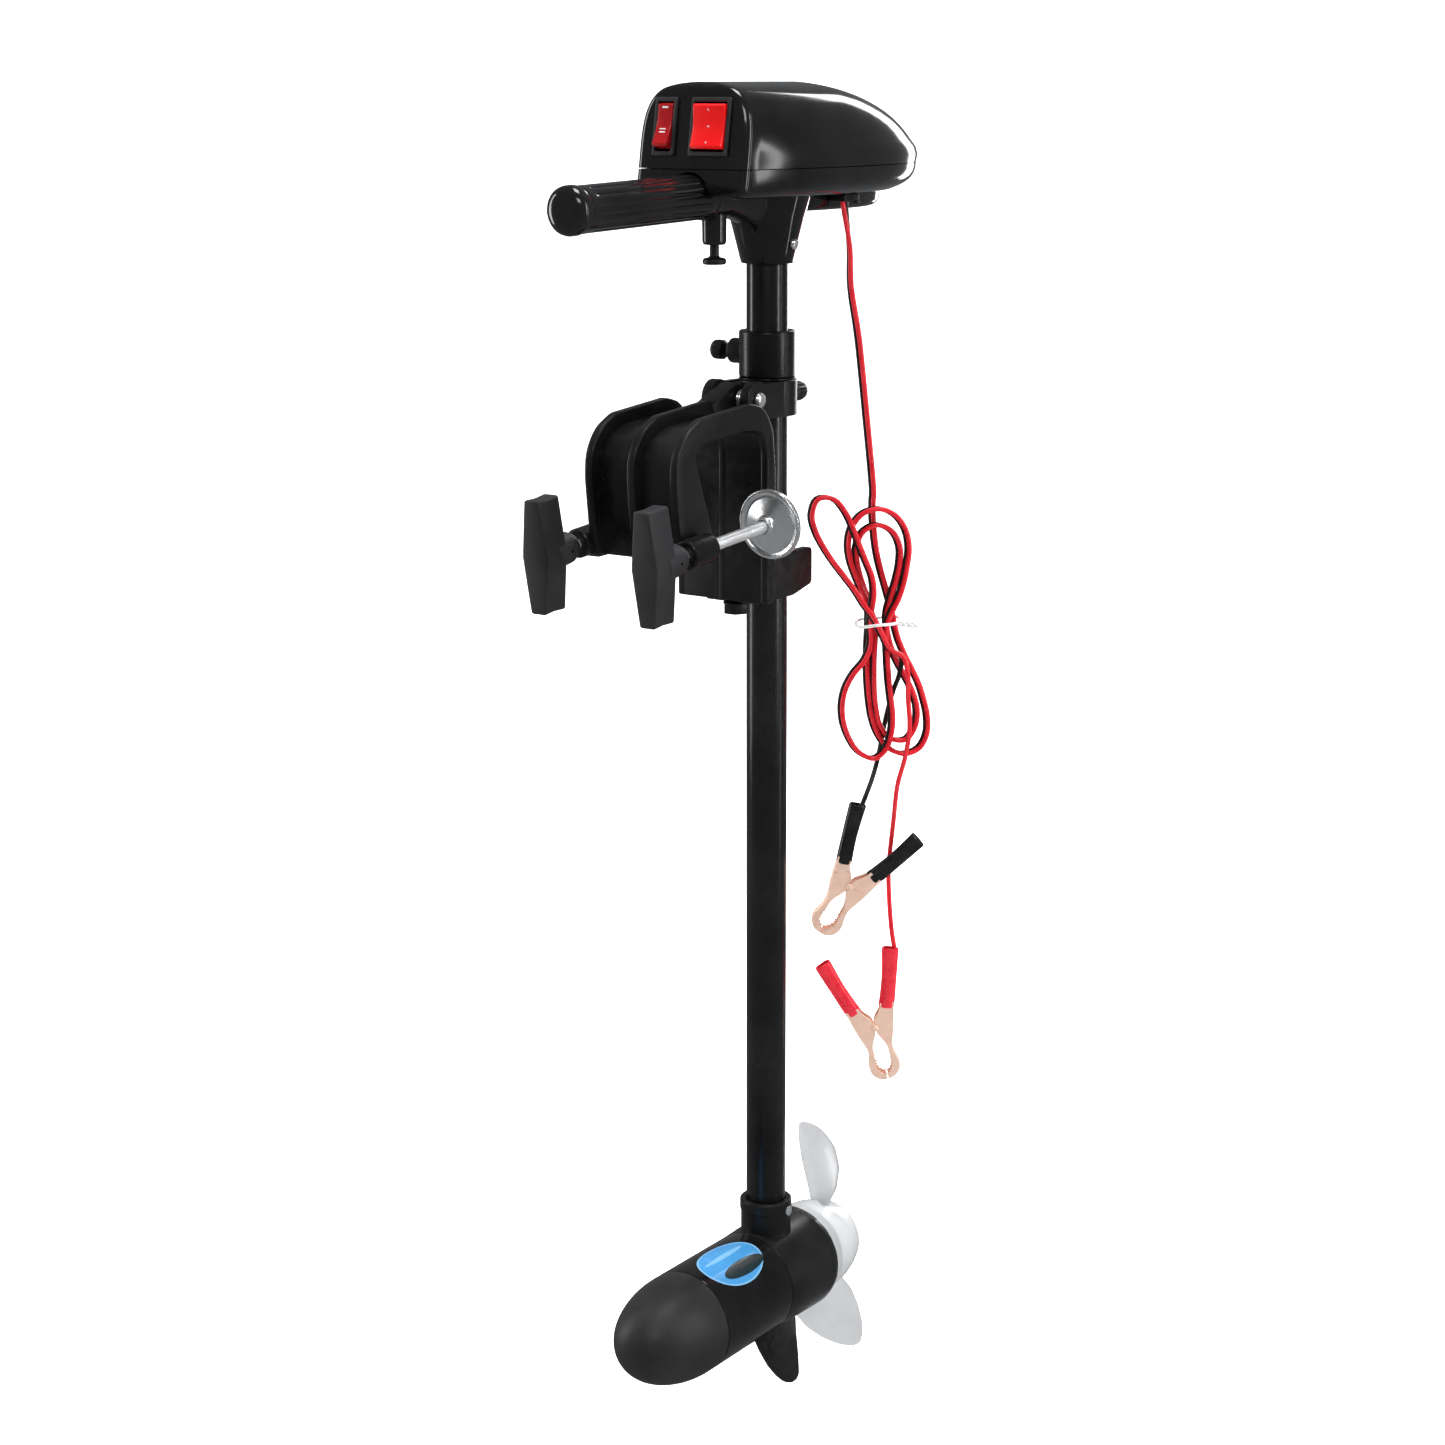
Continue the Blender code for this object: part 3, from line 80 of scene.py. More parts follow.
class ShaderSteps:
    """The steps a finish is made of, each adding one node and giving its output."""

    def __init__(self, tree):
        self.tree = tree
        self.coords = self.add("TexCoord").outputs["Object"]

    def add(self, kind, inputs=(), **settings):
        return add_node(self.tree, kind, inputs, **settings)

    def noise(self, scale, detail, roughness=0.55, vector=None, distortion=0.0):
        return self.add("TexNoise", {
            "Scale": scale, "Detail": detail, "Roughness": roughness, "Distortion": distortion,
            "Vector": vector or self.coords}).outputs["Fac"]

    def ramp(self, value, span, low=0.0, high=1.0):
        return self.add("MapRange", {
            "From Min": span[0], "From Max": span[1], "To Min": low, "To Max": high,
            "Value": value}).outputs["Result"]

    def calc(self, operation, first, second):
        return self.add("Math", {0: first, 1: second}, operation=operation).outputs[0]

    def mix(self, factor, first, second):
        first, second = ((*c, 1.0) if isinstance(c, tuple) else c for c in (first, second))
        return self.add("Mix", {"Factor": factor, "A": first, "B": second},
                        data_type="RGBA").outputs["Result"]

    def stretched(self, **mapping):
        """Object coordinates, turned and scaled."""
        inputs = {key.capitalize(): value for key, value in mapping.items()}
        return self.add("Mapping", {**inputs, "Vector": self.coords}).outputs["Vector"]

    def scratch_mask(self):
        vector = self.stretched(rotation=(0.5, 0.3, 0.7), scale=(30.0, 900.0, 60.0))
        streak = self.noise(1.0, detail=2.0, roughness=0.5, vector=vector, distortion=0.4)
        return self.calc("MULTIPLY", self.ramp(streak, (0.66, 0.72)),
                         self.ramp(self.noise(9.0, detail=2.0), (0.5, 0.65)))

    def edge_mask(self, amount):
        geometry = self.add("NewGeometry")
        return self.calc("MULTIPLY", self.ramp(geometry.outputs["Pointiness"], (0.52, 0.60)),
                         self.ramp(self.noise(160.0, detail=3.0), (0.42, 0.62), high=amount))

    def dust_mask(self, amount):
        normal = self.add("NewGeometry").outputs["Normal"]
        split = self.add("SeparateXYZ", {0: normal})
        patchy = self.ramp(split.outputs["Z"], (0.2, 1.0), low=0.1)
        specks = self.noise(55.0, detail=6.0, roughness=0.7)
        return self.calc("MULTIPLY", patchy, self.ramp(specks, (0.48, 0.75), high=amount))


def finish(name, colour, rough, metallic=0.0, vary=0.15, blotch=18.0, grain=900.0,
           grain_bump=0.05, rough_vary=0.08, scratch=0.0, wear=0.0,
           wear_colour=(0.08, 0.08, 0.08), dust=0.0, coat=0.0, transmission=0.0, spec=0.5,
           brushed=None, alpha=1.0, subsurface=0.0, radial=0.0):
    """Blotchy colour, uneven gloss, fine grain, scratches, rubbed edges and settled dust.

    blotch and grain are noise scales, brushed is the stretch of brush lines, and radial is
    the anisotropy around y.
    """
    mat = bpy.data.materials.new(name)
    mat.use_nodes = True
    steps = ShaderSteps(mat.node_tree)

    def shade(share):
        return tuple(c * share for c in colour)

    light = tuple(min(1.0, c * (1 + vary) + 0.004) for c in colour)
    patches = steps.noise(blotch, detail=5.0, roughness=0.6)
    base = steps.mix(steps.ramp(patches, (0.35, 0.65)), shade(1 - vary), light)
    fine = steps.noise(grain, detail=2.0, roughness=0.5)
    base = steps.mix(steps.ramp(fine, (0.3, 0.7), high=0.12), base, shade(0.6))
    gloss = steps.ramp(patches, (0.3, 0.7), low=max(0.02, rough - rough_vary),
                       high=min(1.0, rough + rough_vary))
    if brushed is not None:
        lines = steps.noise(1.0, detail=3.0, roughness=0.6,
                            vector=steps.stretched(scale=brushed))
        gloss = steps.calc("ADD", gloss, steps.ramp(lines, (0.3, 0.7), low=-0.06, high=0.10))
        base = steps.mix(steps.ramp(lines, (0.45, 0.75), high=0.25), base, shade(0.7))
    height = steps.ramp(fine, (0.0, 1.0), high=grain_bump)
    if scratch > 0:
        marks = steps.scratch_mask()
        depth = 0.25 * scratch
        gloss = steps.calc("ADD", gloss, steps.calc("MULTIPLY", marks, depth))
        height = steps.calc("SUBTRACT", height, steps.calc("MULTIPLY", marks, depth))
    if wear > 0:
        edges = steps.edge_mask(wear)
        base = steps.mix(edges, base, wear_colour)
        gloss = steps.calc("ADD", gloss, steps.calc("MULTIPLY", edges, 0.15))
    if dust > 0:
        settled = steps.dust_mask(dust)
        base = steps.mix(settled, base, (0.45, 0.44, 0.42))
        gloss = steps.calc("ADD", gloss, steps.calc("MULTIPLY", settled, 0.5))
    bump = steps.add("Bump", {"Strength": 0.6, "Distance": 0.001, "Height": height})
    inputs = {
        "Normal": bump.outputs["Normal"], "Base Color": base, "Roughness": gloss,
        "Metallic": metallic, "Specular IOR Level": spec, "IOR": 1.45,
        "Transmission Weight": transmission, "Coat Weight": coat, "Coat Roughness": 0.06,
        "Subsurface Weight": subsurface, "Subsurface Scale": 0.002}
    if radial > 0:
        around = steps.add("Tangent", direction_type="RADIAL", axis="Y")
        inputs.update({"Tangent": around.outputs["Tangent"], "Anisotropic": radial})
    for key, value in inputs.items():
        feed(mat.node_tree, mat.node_tree.nodes["Principled BSDF"].inputs[key], value)
    mat.diffuse_color = (*colour, alpha)
    return mat


def linear(*srgb):
    return tuple(x / 12.92 if x <= 0.04045 else ((x + 0.055) / 1.055) ** 2.4 for x in srgb)


# ------------------------------------------------------------------ materials
# black and grey mouldings, castings and paint
GLOSS_BLACK = finish("gloss_black_abs", (0.0035, 0.0035, 0.004), rough=0.11, vary=0.3,
                     grain_bump=0.003, rough_vary=0.03, scratch=0.15, dust=0.012, coat=0.25)
SATIN_BLACK = finish("satin_black_cast", (0.0055, 0.0055, 0.006), rough=0.30, vary=0.3,
                     grain=1100.0, grain_bump=0.03, rough_vary=0.06, scratch=0.3, wear=0.12,
                     dust=0.012, spec=0.36)
POD_BLACK = finish("pod_black_paint", (0.003, 0.003, 0.0035), rough=0.12, vary=0.3,
                   grain_bump=0.006, rough_vary=0.03, scratch=0.2, wear=0.1,
                   wear_colour=(0.06, 0.06, 0.06), dust=0.01)
NOSE_BLACK = finish("nose_black_nylon", (0.013, 0.013, 0.014), rough=0.44, vary=0.3,
                    grain=1100.0, grain_bump=0.03, rough_vary=0.06, scratch=0.25, wear=0.12,
                    dust=0.012, spec=0.42)
SHAFT_BLACK = finish("shaft_black", (0.006, 0.006, 0.0065), rough=0.22, vary=0.25,
                     grain_bump=0.01, rough_vary=0.04, scratch=0.3, dust=0.01, spec=0.42)
NYLON = finish("black_nylon", (0.006, 0.006, 0.0065), rough=0.36, vary=0.25, grain=1200.0,
               grain_bump=0.03, wear=0.12, dust=0.012, spec=0.36)
HANDLE = finish("handle_grey_nylon", (0.019, 0.019, 0.021), rough=0.50, vary=0.22,
                grain=1300.0, wear=0.2, wear_colour=(0.09, 0.09, 0.09), dust=0.02, spec=0.4)
BEZEL = finish("bezel_charcoal", (0.022, 0.022, 0.023), rough=0.42, vary=0.2, grain=1500.0,
               grain_bump=0.03, wear=0.1, spec=0.4)
# metals
ZINC = finish("bright_zinc", (0.80, 0.81, 0.82), rough=0.20, metallic=0.85, vary=0.06,
              grain_bump=0.01, rough_vary=0.05, scratch=0.2)
PAD_ZINC = finish("pad_zinc", (0.86, 0.87, 0.88), rough=0.22, metallic=0.9, vary=0.06,
                  blotch=90.0, grain_bump=0.008, rough_vary=0.05, scratch=0.1, radial=0.8)
SCREW_ZINC = finish("screw_zinc", (0.88, 0.89, 0.90), rough=0.24, metallic=0.75, vary=0.05,
                    grain_bump=0.01, rough_vary=0.05, scratch=0.15)
STEEL = finish("ground_steel", (0.56, 0.57, 0.59), rough=0.28, metallic=1.0, vary=0.1,
               grain_bump=0.04, brushed=(60.0, 900.0, 900.0))
COPPER = finish("copper_plate", (0.96, 0.63, 0.49), rough=0.30, metallic=0.18, vary=0.07,
                blotch=60.0, grain_bump=0.03, rough_vary=0.06, scratch=0.3, wear=0.3,
                wear_colour=(0.97, 0.80, 0.70))
COPPER_IN = finish("copper_shadow", (0.62, 0.26, 0.16), rough=0.38, metallic=0.7, vary=0.2,
                   blotch=60.0)
BRASS = finish("bearing_brass", (0.72, 0.52, 0.26), rough=0.34, metallic=1.0)
WINDING = finish("winding_enamel", (0.50, 0.19, 0.08), rough=0.42, metallic=1.0, grain=700.0,
                 grain_bump=0.2)
# magnets, seal and brush holder
FERRITE = finish("ferrite", (0.06, 0.06, 0.065), rough=0.7, vary=0.2, grain_bump=0.15)
RUBBER = finish("seal_rubber", (0.02, 0.02, 0.02), rough=0.75, vary=0.2, grain_bump=0.1)
ACETAL = finish("acetal_white", (0.72, 0.72, 0.68), rough=0.42, vary=0.05, grain_bump=0.03)
# rocker keys and their marks
RED_ROCKER = finish("rocker_red", linear(0.96, 0.05, 0.06), rough=0.22, vary=0.06,
                    grain_bump=0.02, rough_vary=0.05, coat=0.4, subsurface=0.05)
DEEP_RED = finish("rocker_dark_red", linear(0.62, 0.03, 0.06), rough=0.18, vary=0.10,
                  grain_bump=0.01, rough_vary=0.04, coat=0.5)
MARK_WHITE = finish("mark_white", (0.82, 0.80, 0.80), rough=0.5, vary=0.04, grain_bump=0.02)
MARK_PINK = finish("mark_pink", (0.80, 0.45, 0.48), rough=0.5, vary=0.04, grain_bump=0.02)
# cable, clip boots and cable tie
RED_VINYL = finish("red_vinyl", linear(0.90, 0.10, 0.17), rough=0.30, vary=0.10, blotch=70.0,
                   scratch=0.3, coat=0.15)
RED_BOOT = finish("red_boot_vinyl", linear(0.93, 0.14, 0.22), rough=0.30, vary=0.08,
                  blotch=90.0, grain_bump=0.06, scratch=0.3, coat=0.2)
BLACK_VINYL = finish("black_vinyl", (0.010, 0.009, 0.009), rough=0.28, vary=0.2, blotch=70.0,
                     grain_bump=0.02, scratch=0.2)
BLACK_BOOT = finish("black_boot_vinyl", (0.009, 0.009, 0.0095), rough=0.26, vary=0.2,
                    blotch=90.0, grain_bump=0.03, scratch=0.3, wear=0.1)
TIE_WHITE = finish("tie_white", (0.86, 0.86, 0.85), rough=0.45, vary=0.04)
# propeller and pod label
PROP = finish("frosted_polycarbonate", (0.67, 0.68, 0.69), rough=0.18, vary=0.06, blotch=30.0,
              grain_bump=0.02, rough_vary=0.06, scratch=0.3, transmission=0.45, alpha=0.55)
LABEL_BLUE = finish("label_blue", linear(0.26, 0.55, 0.77), rough=0.22, vary=0.12,
                    grain_bump=0.01, scratch=0.2, coat=0.3)
LABEL_DARK = finish("label_dark", linear(0.07, 0.15, 0.17), rough=0.22, vary=0.2,
                    grain_bump=0.01, coat=0.3)
LABEL_RIM = finish("label_rim", linear(0.46, 0.68, 0.84), rough=0.26, vary=0.06,
                   grain_bump=0.01, coat=0.3)


# ------------------------------------------------------------------ shapes and frames
def place(at=(0, 0, 0), z_to=(0, 0, 1), x_to=None):
    """A 4x4 frame at a point, its z along z_to and its x as near x_to as it can be."""
    z = Vector(z_to).normalized()
    x = Vector(x_to) if x_to else Vector((1, 0, 0) if abs(z.x) < 0.9 else (0, 1, 0))
    y = z.cross(x).normalized()
    x = y.cross(z).normalized()
    return framed(x, y, z, at)


def framed(x_axis, y_axis, z_axis, at=(0, 0, 0)):
    out = np.eye(4)
    out[:3, 0], out[:3, 1], out[:3, 2], out[:3, 3] = x_axis, y_axis, z_axis, at
    return out


def rotation(degrees, axis):
    out = np.eye(4)
    out[:3, :3] = np.array(Matrix.Rotation(radians(degrees), 3, axis))
    return out


class Shape:
    """Vertices and faces in design millimetres, with a material slot per face."""

    def __init__(self, verts, faces, slots=None):
        self.verts = np.asarray(verts, float).reshape(-1, 3)
        self.faces = [tuple(f) for f in faces]
        self.slots = list(slots) if slots is not None else [0] * len(self.faces)

    def at(self, to):
        return Shape(self.verts @ to[:3, :3].T + to[:3, 3], self.faces, self.slots)

    def painted(self, slot):
        return Shape(self.verts, self.faces, [slot] * len(self.faces))

    def flipped(self):
        return Shape(self.verts, [f[::-1] for f in self.faces], self.slots)

    def __add__(self, other):
        start = len(self.verts)
        return Shape(np.vstack([self.verts, other.verts]),
                     self.faces + [tuple(i + start for i in f) for f in other.faces],
                     self.slots + other.slots)


def join(shapes):
    return sum(shapes[1:], shapes[0])


def make(name, shape, *looks, sharp=32.0):
    mesh = bpy.data.meshes.new(name)
    mesh.from_pydata(((shape.verts + OFFSET) * MILLIMETRE).tolist(), [], shape.faces)
    for look in looks:
        mesh.materials.append(look)
    mesh.polygons.foreach_set("material_index", shape.slots)
    mesh.validate()
    tidy = bmesh.new()
    tidy.from_mesh(mesh)
    bmesh.ops.recalc_face_normals(tidy, faces=tidy.faces)
    tidy.to_mesh(mesh)
    tidy.free()
    mesh.shade_smooth()
    mesh.set_sharp_from_angle(angle=radians(sharp))
    mesh.update()
    obj = bpy.data.objects.new(name, mesh)
    bpy.context.scene.collection.objects.link(obj)
    return obj


BODY_OF = {node: body for body, nodes in pack["record"]["behaviour"]["bodies"].items()
           for node in nodes}


def stand(node, shape, *looks, sharp=32.0):
    """A finer piece in place of the CAD node of the same name."""
    obj = make(node + "_fine", shape, *looks, sharp=sharp)
    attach(obj, BODY_OF[node])
    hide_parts(node)
    return obj


def soft(obj, width, segments, angle):
    bevel = obj.modifiers.new("soft_edges", "BEVEL")
    bevel.width = width * MILLIMETRE
    bevel.segments = segments
    bevel.limit_method = "ANGLE"
    bevel.angle_limit = radians(angle)
    return obj


def baked(obj):
    """The object's shape with its modifiers applied; the object is removed."""
    bpy.context.view_layer.update()
    graph = bpy.context.evaluated_depsgraph_get()
    mesh = bpy.data.meshes.new_from_object(obj.evaluated_get(graph))
    places = np.empty(len(mesh.vertices) * 3)
    mesh.vertices.foreach_get("co", places)
    verts = places.reshape(-1, 3) / MILLIMETRE - OFFSET
    faces = [tuple(p.vertices) for p in mesh.polygons]
    bpy.data.objects.remove(obj, do_unlink=True)
    bpy.data.meshes.remove(mesh)
    return Shape(verts, faces)


def softened(shape, width, segments, angle):
    """The shape with its edges bevelled where they turn more than the angle."""
    return baked(soft(make("part", shape, SATIN_BLACK), width, segments, angle))


def carved(shape, *cutters):
    """The shape less every cutter."""
    target = make("target", shape, SATIN_BLACK)
    tools = []
    for cutter in cutters:
        tool = make("tool", cutter, SATIN_BLACK)
        step = target.modifiers.new("cut", "BOOLEAN")
        step.operation = "DIFFERENCE"
        step.solver = "EXACT"
        step.object = tool
        tools.append(tool)
    out = baked(target)
    for tool in tools:
        bpy.data.objects.remove(tool, do_unlink=True)
    return out


def skin(rows, cap_start=True, cap_end=True):
    """A skin over closed rings that all have the same number of points."""
    count = len(rows[0])
    faces = []
    for k in range(len(rows) - 1):
        for i in range(count):
            j = (i + 1) % count
            near, far = k * count, (k + 1) * count
            faces.append((near + i, near + j, far + j, far + i))
    if cap_start:
        faces.append(tuple(range(count))[::-1])
    if cap_end:
        faces.append(tuple(range((len(rows) - 1) * count, len(rows) * count)))
    return Shape(np.vstack(rows), faces)


def lined(outer, lining, count, at_end=True):
    """Two skins joined into one wall by a rim between their last, or first, rings."""
    shape = outer + lining.flipped()
    first = len(outer.verts) - count if at_end else 0
    second = len(shape.verts) - count if at_end else len(outer.verts)
    for i in range(count):
        j = (i + 1) % count
        quad = (first + i, first + j, second + j, second + i)
        shape.faces.append(quad if at_end else quad[::-1])
        shape.slots.append(0)
    return shape


def around(count):
    return np.linspace(0, 2 * pi, count, endpoint=False)


def squared(value, power):
    """A sine or cosine raised to a power with its sign kept, which squares up a circle."""
    return np.sign(value) * abs(value) ** power


def lathe(profile, steps, at=None, scale=None):
    """A turned solid from a closed (radius, height) outline; axis points are single vertices."""
    verts, faces, rings = [], [], []
    for radius, height in profile:
        if radius < 1e-6:
            rings.append([len(verts)])
            verts.append((0.0, 0.0, height))
            continue
        rings.append(range(len(verts), len(verts) + steps))
        for k in range(steps):
            angle = 2 * pi * k / steps
            reach = radius * (scale(angle, height) if scale else 1.0)
            verts.append((reach * cos(angle), reach * sin(angle), height))
    for k, ring in enumerate(rings):
        after = rings[(k + 1) % len(rings)]
        if len(ring) == 1 and len(after) == 1:
            continue
        for i in range(steps):
            j = (i + 1) % steps
            if len(ring) == 1:
                faces.append((ring[0], after[i], after[j]))
            elif len(after) == 1:
                faces.append((ring[i], ring[j], after[0]))
            else:
                faces.append((ring[i], ring[j], after[j], after[i]))
    out = Shape(verts, faces)
    return out.at(at) if at is not None else out


def rod(radius, low, high, steps, at=None):
    return lathe([(0, low), (radius, low), (radius, high), (0, high)], steps, at)


def rounded(outline, radius, arc=4):
    """Fillets the corners of a closed 2-D outline; radius is one number or one per point."""
    count = len(outline)
    out = []
    for k in range(count):
        before, corner, after = (np.array(outline[(k + d) % count], float) for d in (-1, 0, 1))
        wanted = radius[k] if isinstance(radius, list) else radius
        back, ahead = before - corner, after - corner
        back_length, ahead_length = np.linalg.norm(back), np.linalg.norm(ahead)
        if wanted <= 0 or back_length < 1e-9 or ahead_length < 1e-9:
            out.append(tuple(corner))
            continue
        back, ahead = back / back_length, ahead / ahead_length
        angle = acos(float(np.clip(back @ ahead, -1, 1)))
        if angle > radians(172) or angle < 0.05:
            out.append(tuple(corner))
            continue
        cut = min(wanted / tan(angle / 2), 0.45 * back_length, 0.45 * ahead_length)
        bend = cut * tan(angle / 2)
        middle = back + ahead
        centre = corner + middle / np.linalg.norm(middle) * (bend / sin(angle / 2))
        first, last = corner + back * cut - centre, corner + ahead * cut - centre
        start = atan2(first[1], first[0])
        sweep = (atan2(last[1], last[0]) - start + pi) % (2 * pi) - pi
        for q in range(arc + 1):
            turn = start + sweep * q / arc
            out.append((centre[0] + bend * cos(turn), centre[1] + bend * sin(turn)))
    return out


def turned(profile, radius, steps, at=None, arc=4):
    """A lathe solid with filleted corners."""
    return lathe(rounded(profile, radius, arc), steps, at)


def plate(outline, low, high, at=None):
    """A flat (x, y) outline raised from low to high along local z."""
    pairs = zip(outline, outline[1:] + outline[:1])
    if sum(x0 * y1 - x1 * y0 for (x0, y0), (x1, y1) in pairs) < 0:
        outline = outline[::-1]
    count = len(outline)
    verts = [(x, y, z) for z in (low, high) for x, y in outline]
    faces = [tuple(range(count))[::-1], tuple(range(count, 2 * count))]
    for i in range(count):
        j = (i + 1) % count
        faces.append((i, j, count + j, count + i))
    out = Shape(verts, faces)
    return out.at(at) if at is not None else out


def side(outline, x0, x1):
    """A (y, z) outline raised across, from x0 to x1."""
    return plate(outline, x0, x1, framed((0, 1, 0), (0, 0, 1), (1, 0, 0)))


def hexagon(radius):
    return [(radius * cos(radians(a)), radius * sin(radians(a))) for a in range(0, 360, 60)]


def brick(low, high):
    (x0, y0, z0), (x1, y1, z1) = low, high
    corners = [(x, y, z) for z in (z0, z1) for x, y in ((x0, y0), (x1, y0), (x1, y1), (x0, y1))]
    return Shape(corners, [(3, 2, 1, 0), (4, 5, 6, 7), (0, 1, 5, 4), (1, 2, 6, 5), (2, 3, 7, 6),
                           (3, 0, 4, 7)])


def catmull(points, per):
    """A smooth open curve through the points, with per steps to each span."""
    points = np.asarray(points, float)
    last = len(points) - 1
    out = []
    for k in range(last):
        a, b, c, d = (points[i] for i in (max(k - 1, 0), k, k + 1, min(k + 2, last)))
        for q in range(per):
            t = q / per
            out.append(0.5 * (2 * b + (c - a) * t + (2 * a - 5 * b + 4 * c - d) * t * t
                              + (3 * b - a - 3 * c + d) * t**3))
    out.append(points[-1])
    return np.array(out)


def tube(points, radius, sides, closed=False):
    """A round wire along a polyline, with a frame carried along it."""
    points = np.asarray(points, float)
    if closed:
        tangent = np.roll(points, -1, 0) - np.roll(points, 1, 0)
    else:
        tangent = np.zeros_like(points)
        tangent[1:-1] = points[2:] - points[:-2]
        tangent[0], tangent[-1] = points[1] - points[0], points[-1] - points[-2]
    tangent /= np.linalg.norm(tangent, axis=1)[:, None]
    across = np.cross(tangent[0], (0.3, 0.2, 0.93))
    across /= np.linalg.norm(across)
    rows = []
    for point, along in zip(points, tangent):
        across = across - along * (across @ along)
        across /= np.linalg.norm(across)
        up = np.cross(along, across)
        rows.append([point + radius * (cos(a) * across + sin(a) * up) for a in around(sides)])
    if not closed:
        return skin(rows)
    shape = skin(rows, False, False)
    # the carried frame comes back turned, so the last ring joins the first at its nearest start
    first, last = np.array(rows[0]), np.array(rows[-1])
    turn = int(np.argmin([np.linalg.norm(np.roll(first, -q, 0) - last) for q in range(sides)]))
    start = (len(rows) - 1) * sides
    for i in range(sides):
        j = (i + 1) % sides
        shape.faces.append((start + i, start + j, (j + turn) % sides, (i + turn) % sides))
        shape.slots.append(0)
    return shape


def thread(radius, depth, pitch, low, high, sides, per):
    """A screw thread as one skin with closed ends; per is the number of rings to a pitch."""
    rows = []
    count = max(2, int((high - low) / pitch * per))
    for k in range(count + 1):
        height = low + (high - low) * k / count
        fade = min(1.0, (height - low) / pitch, (high - height) / pitch)
        ring = []
        for i in range(sides):
            angle = 2 * pi * i / sides
            phase = (height / pitch - angle / (2 * pi)) % 1.0
            reach = radius - depth * fade * (1 - abs(2 * phase - 1))
            ring.append((reach * cos(angle), reach * sin(angle), height))
        rows.append(ring)
    return skin(rows)


# ------------------------------------------------------------------ control head shells
SEAM_Z, CROWN_Z = 92.0, 138.5
FRONT_HALF, HEAD_HALF = 36.6, 49.6  # half widths at the panel and at the widest
REAR_START, REAR_LENGTH = 20.0, 117.5  # where the rounded rear begins, and its length
HEAD_FILLET, HEAD_WALL = 4.6, 2.3
PANEL_LEAN = 9.0  # degrees
SWITCH_Z = 114.5
SPEED, DIRECTION = (-17.8, 14.4), (11.9, 25.4)  # each switch's x and width

TILLER_DROOP = radians(1.6)
TILLER = place((0, -62.0, 77.3), (0.0, -cos(TILLER_DROOP), -sin(TILLER_DROOP)), (1, 0, 0))
TILLER_BORE = 9.4
STEM_BORE = 12.2
PULL_PIN_Y = -53
PULL_PIN = place((0, PULL_PIN_Y, 0))


def panel_y(z):
    return -77.0 + (z - 89.0) * tan(radians(PANEL_LEAN))


def on_panel(x):
    out = rotation(-PANEL_LEAN, "X")
    out[:3, 3] = (x, panel_y(SWITCH_Z), SWITCH_Z)
    return out


def head_ring(z, half_front, half, rear, front, inset):
    """A level ring: flat front, filleted corners, bowed sides and an elliptical rear."""
    half_front = max(half_front - inset, 0.3)
    half, rear = max(half - inset, 0.35), max(rear - inset, 0.4)
    front += inset
    fillet = min(HEAD_FILLET, half_front * 0.9)
    flat, side_start = half_front - fillet, front + fillet
    near = [(flat * share, front) for share in (0.0, 0.35, 0.7, 1.0)]
    near += [(flat + fillet * sin(a), side_start - fillet * cos(a))
             for a in np.linspace(0, pi / 2, 7)[1:]]
    for k in range(1, 14):
        near.append((half_front + (half - half_front) * sin(pi / 2 * k / 14),
                     side_start + (REAR_START - side_start) * k / 14))
    for k in range(18):
        angle = pi / 2 * k / 18
        near.append((half * cos(angle), REAR_START + rear * sin(angle)))
    full = near + [(0.0, REAR_START + rear)] + [(-x, y) for x, y in near[:0:-1]]
    return [(x, y, z) for x, y in full]


def upper_ring(share, inset=0.0):
    """Ring of the dome; share runs 0 at the parting line to 1 at the crown."""
    crown = CROWN_Z - inset
    z = SEAM_Z + 0.25 + (crown - SEAM_Z - 0.25) * sin(pi / 2 * share)
    rise = min(0.9985, (z - SEAM_Z) / (crown - SEAM_Z))
    side_scale = (1 - rise**2.5) ** (1 / 2.5)
    rear_scale = (1 - rise**1.78) ** (1 / 1.78)
    front_scale = (1 - rise**4.2) ** (1 / 3.1)
    bulge = 1 + 0.02 * sin(pi * min(1.0, rise * 3.2))
    over = max(0.0, z - (CROWN_Z - HEAD_FILLET))  # height into the rounded top of the panel
    back = HEAD_FILLET - sqrt(max(0.0, HEAD_FILLET * HEAD_FILLET - over**2))
    return head_ring(z, min(FRONT_HALF * front_scale, HEAD_HALF * side_scale * 0.985),
                     HEAD_HALF * side_scale * bulge,
                     (REAR_LENGTH + 14) * rear_scale * bulge - 14, panel_y(z) + back, inset)


def lower_ring(z, inset=0.0):
    """Ring of the pan, rounded under and tucked in towards the rear."""
    under = max(0.0, 84.0 - z) / 7.5
    tuck = 5.6 * (1 - sqrt(max(0.0, 1 - min(1.0, under) ** 2.2)))
    stern = min(14.0, 7.5 * (max(0.0, SEAM_Z - z) / 11.6) ** 2.6)
    return head_ring(z, FRONT_HALF - tuck, HEAD_HALF - tuck - 0.45 * stern,
                     REAR_LENGTH - tuck - 1.35 * stern, panel_y(z) + tuck * 0.6, inset)


def upper_shell():
    shares = list(np.linspace(0, 0.55, 10)) + list(np.linspace(0.55, 1.0, 17))[1:]
    dome = [upper_ring(share) for share in shares]
    hollow = [upper_ring(share, HEAD_WALL) for share in shares]
    shell = lined(skin(dome, False), skin(hollow, False), len(dome[0]), at_end=False)
    return carved(shell, *(
        brick((-width / 2 + 0.8, -12, -14.4), (width / 2 - 0.8, 9, 14.4)).at(on_panel(x))
        for x, width in (SPEED, DIRECTION)))


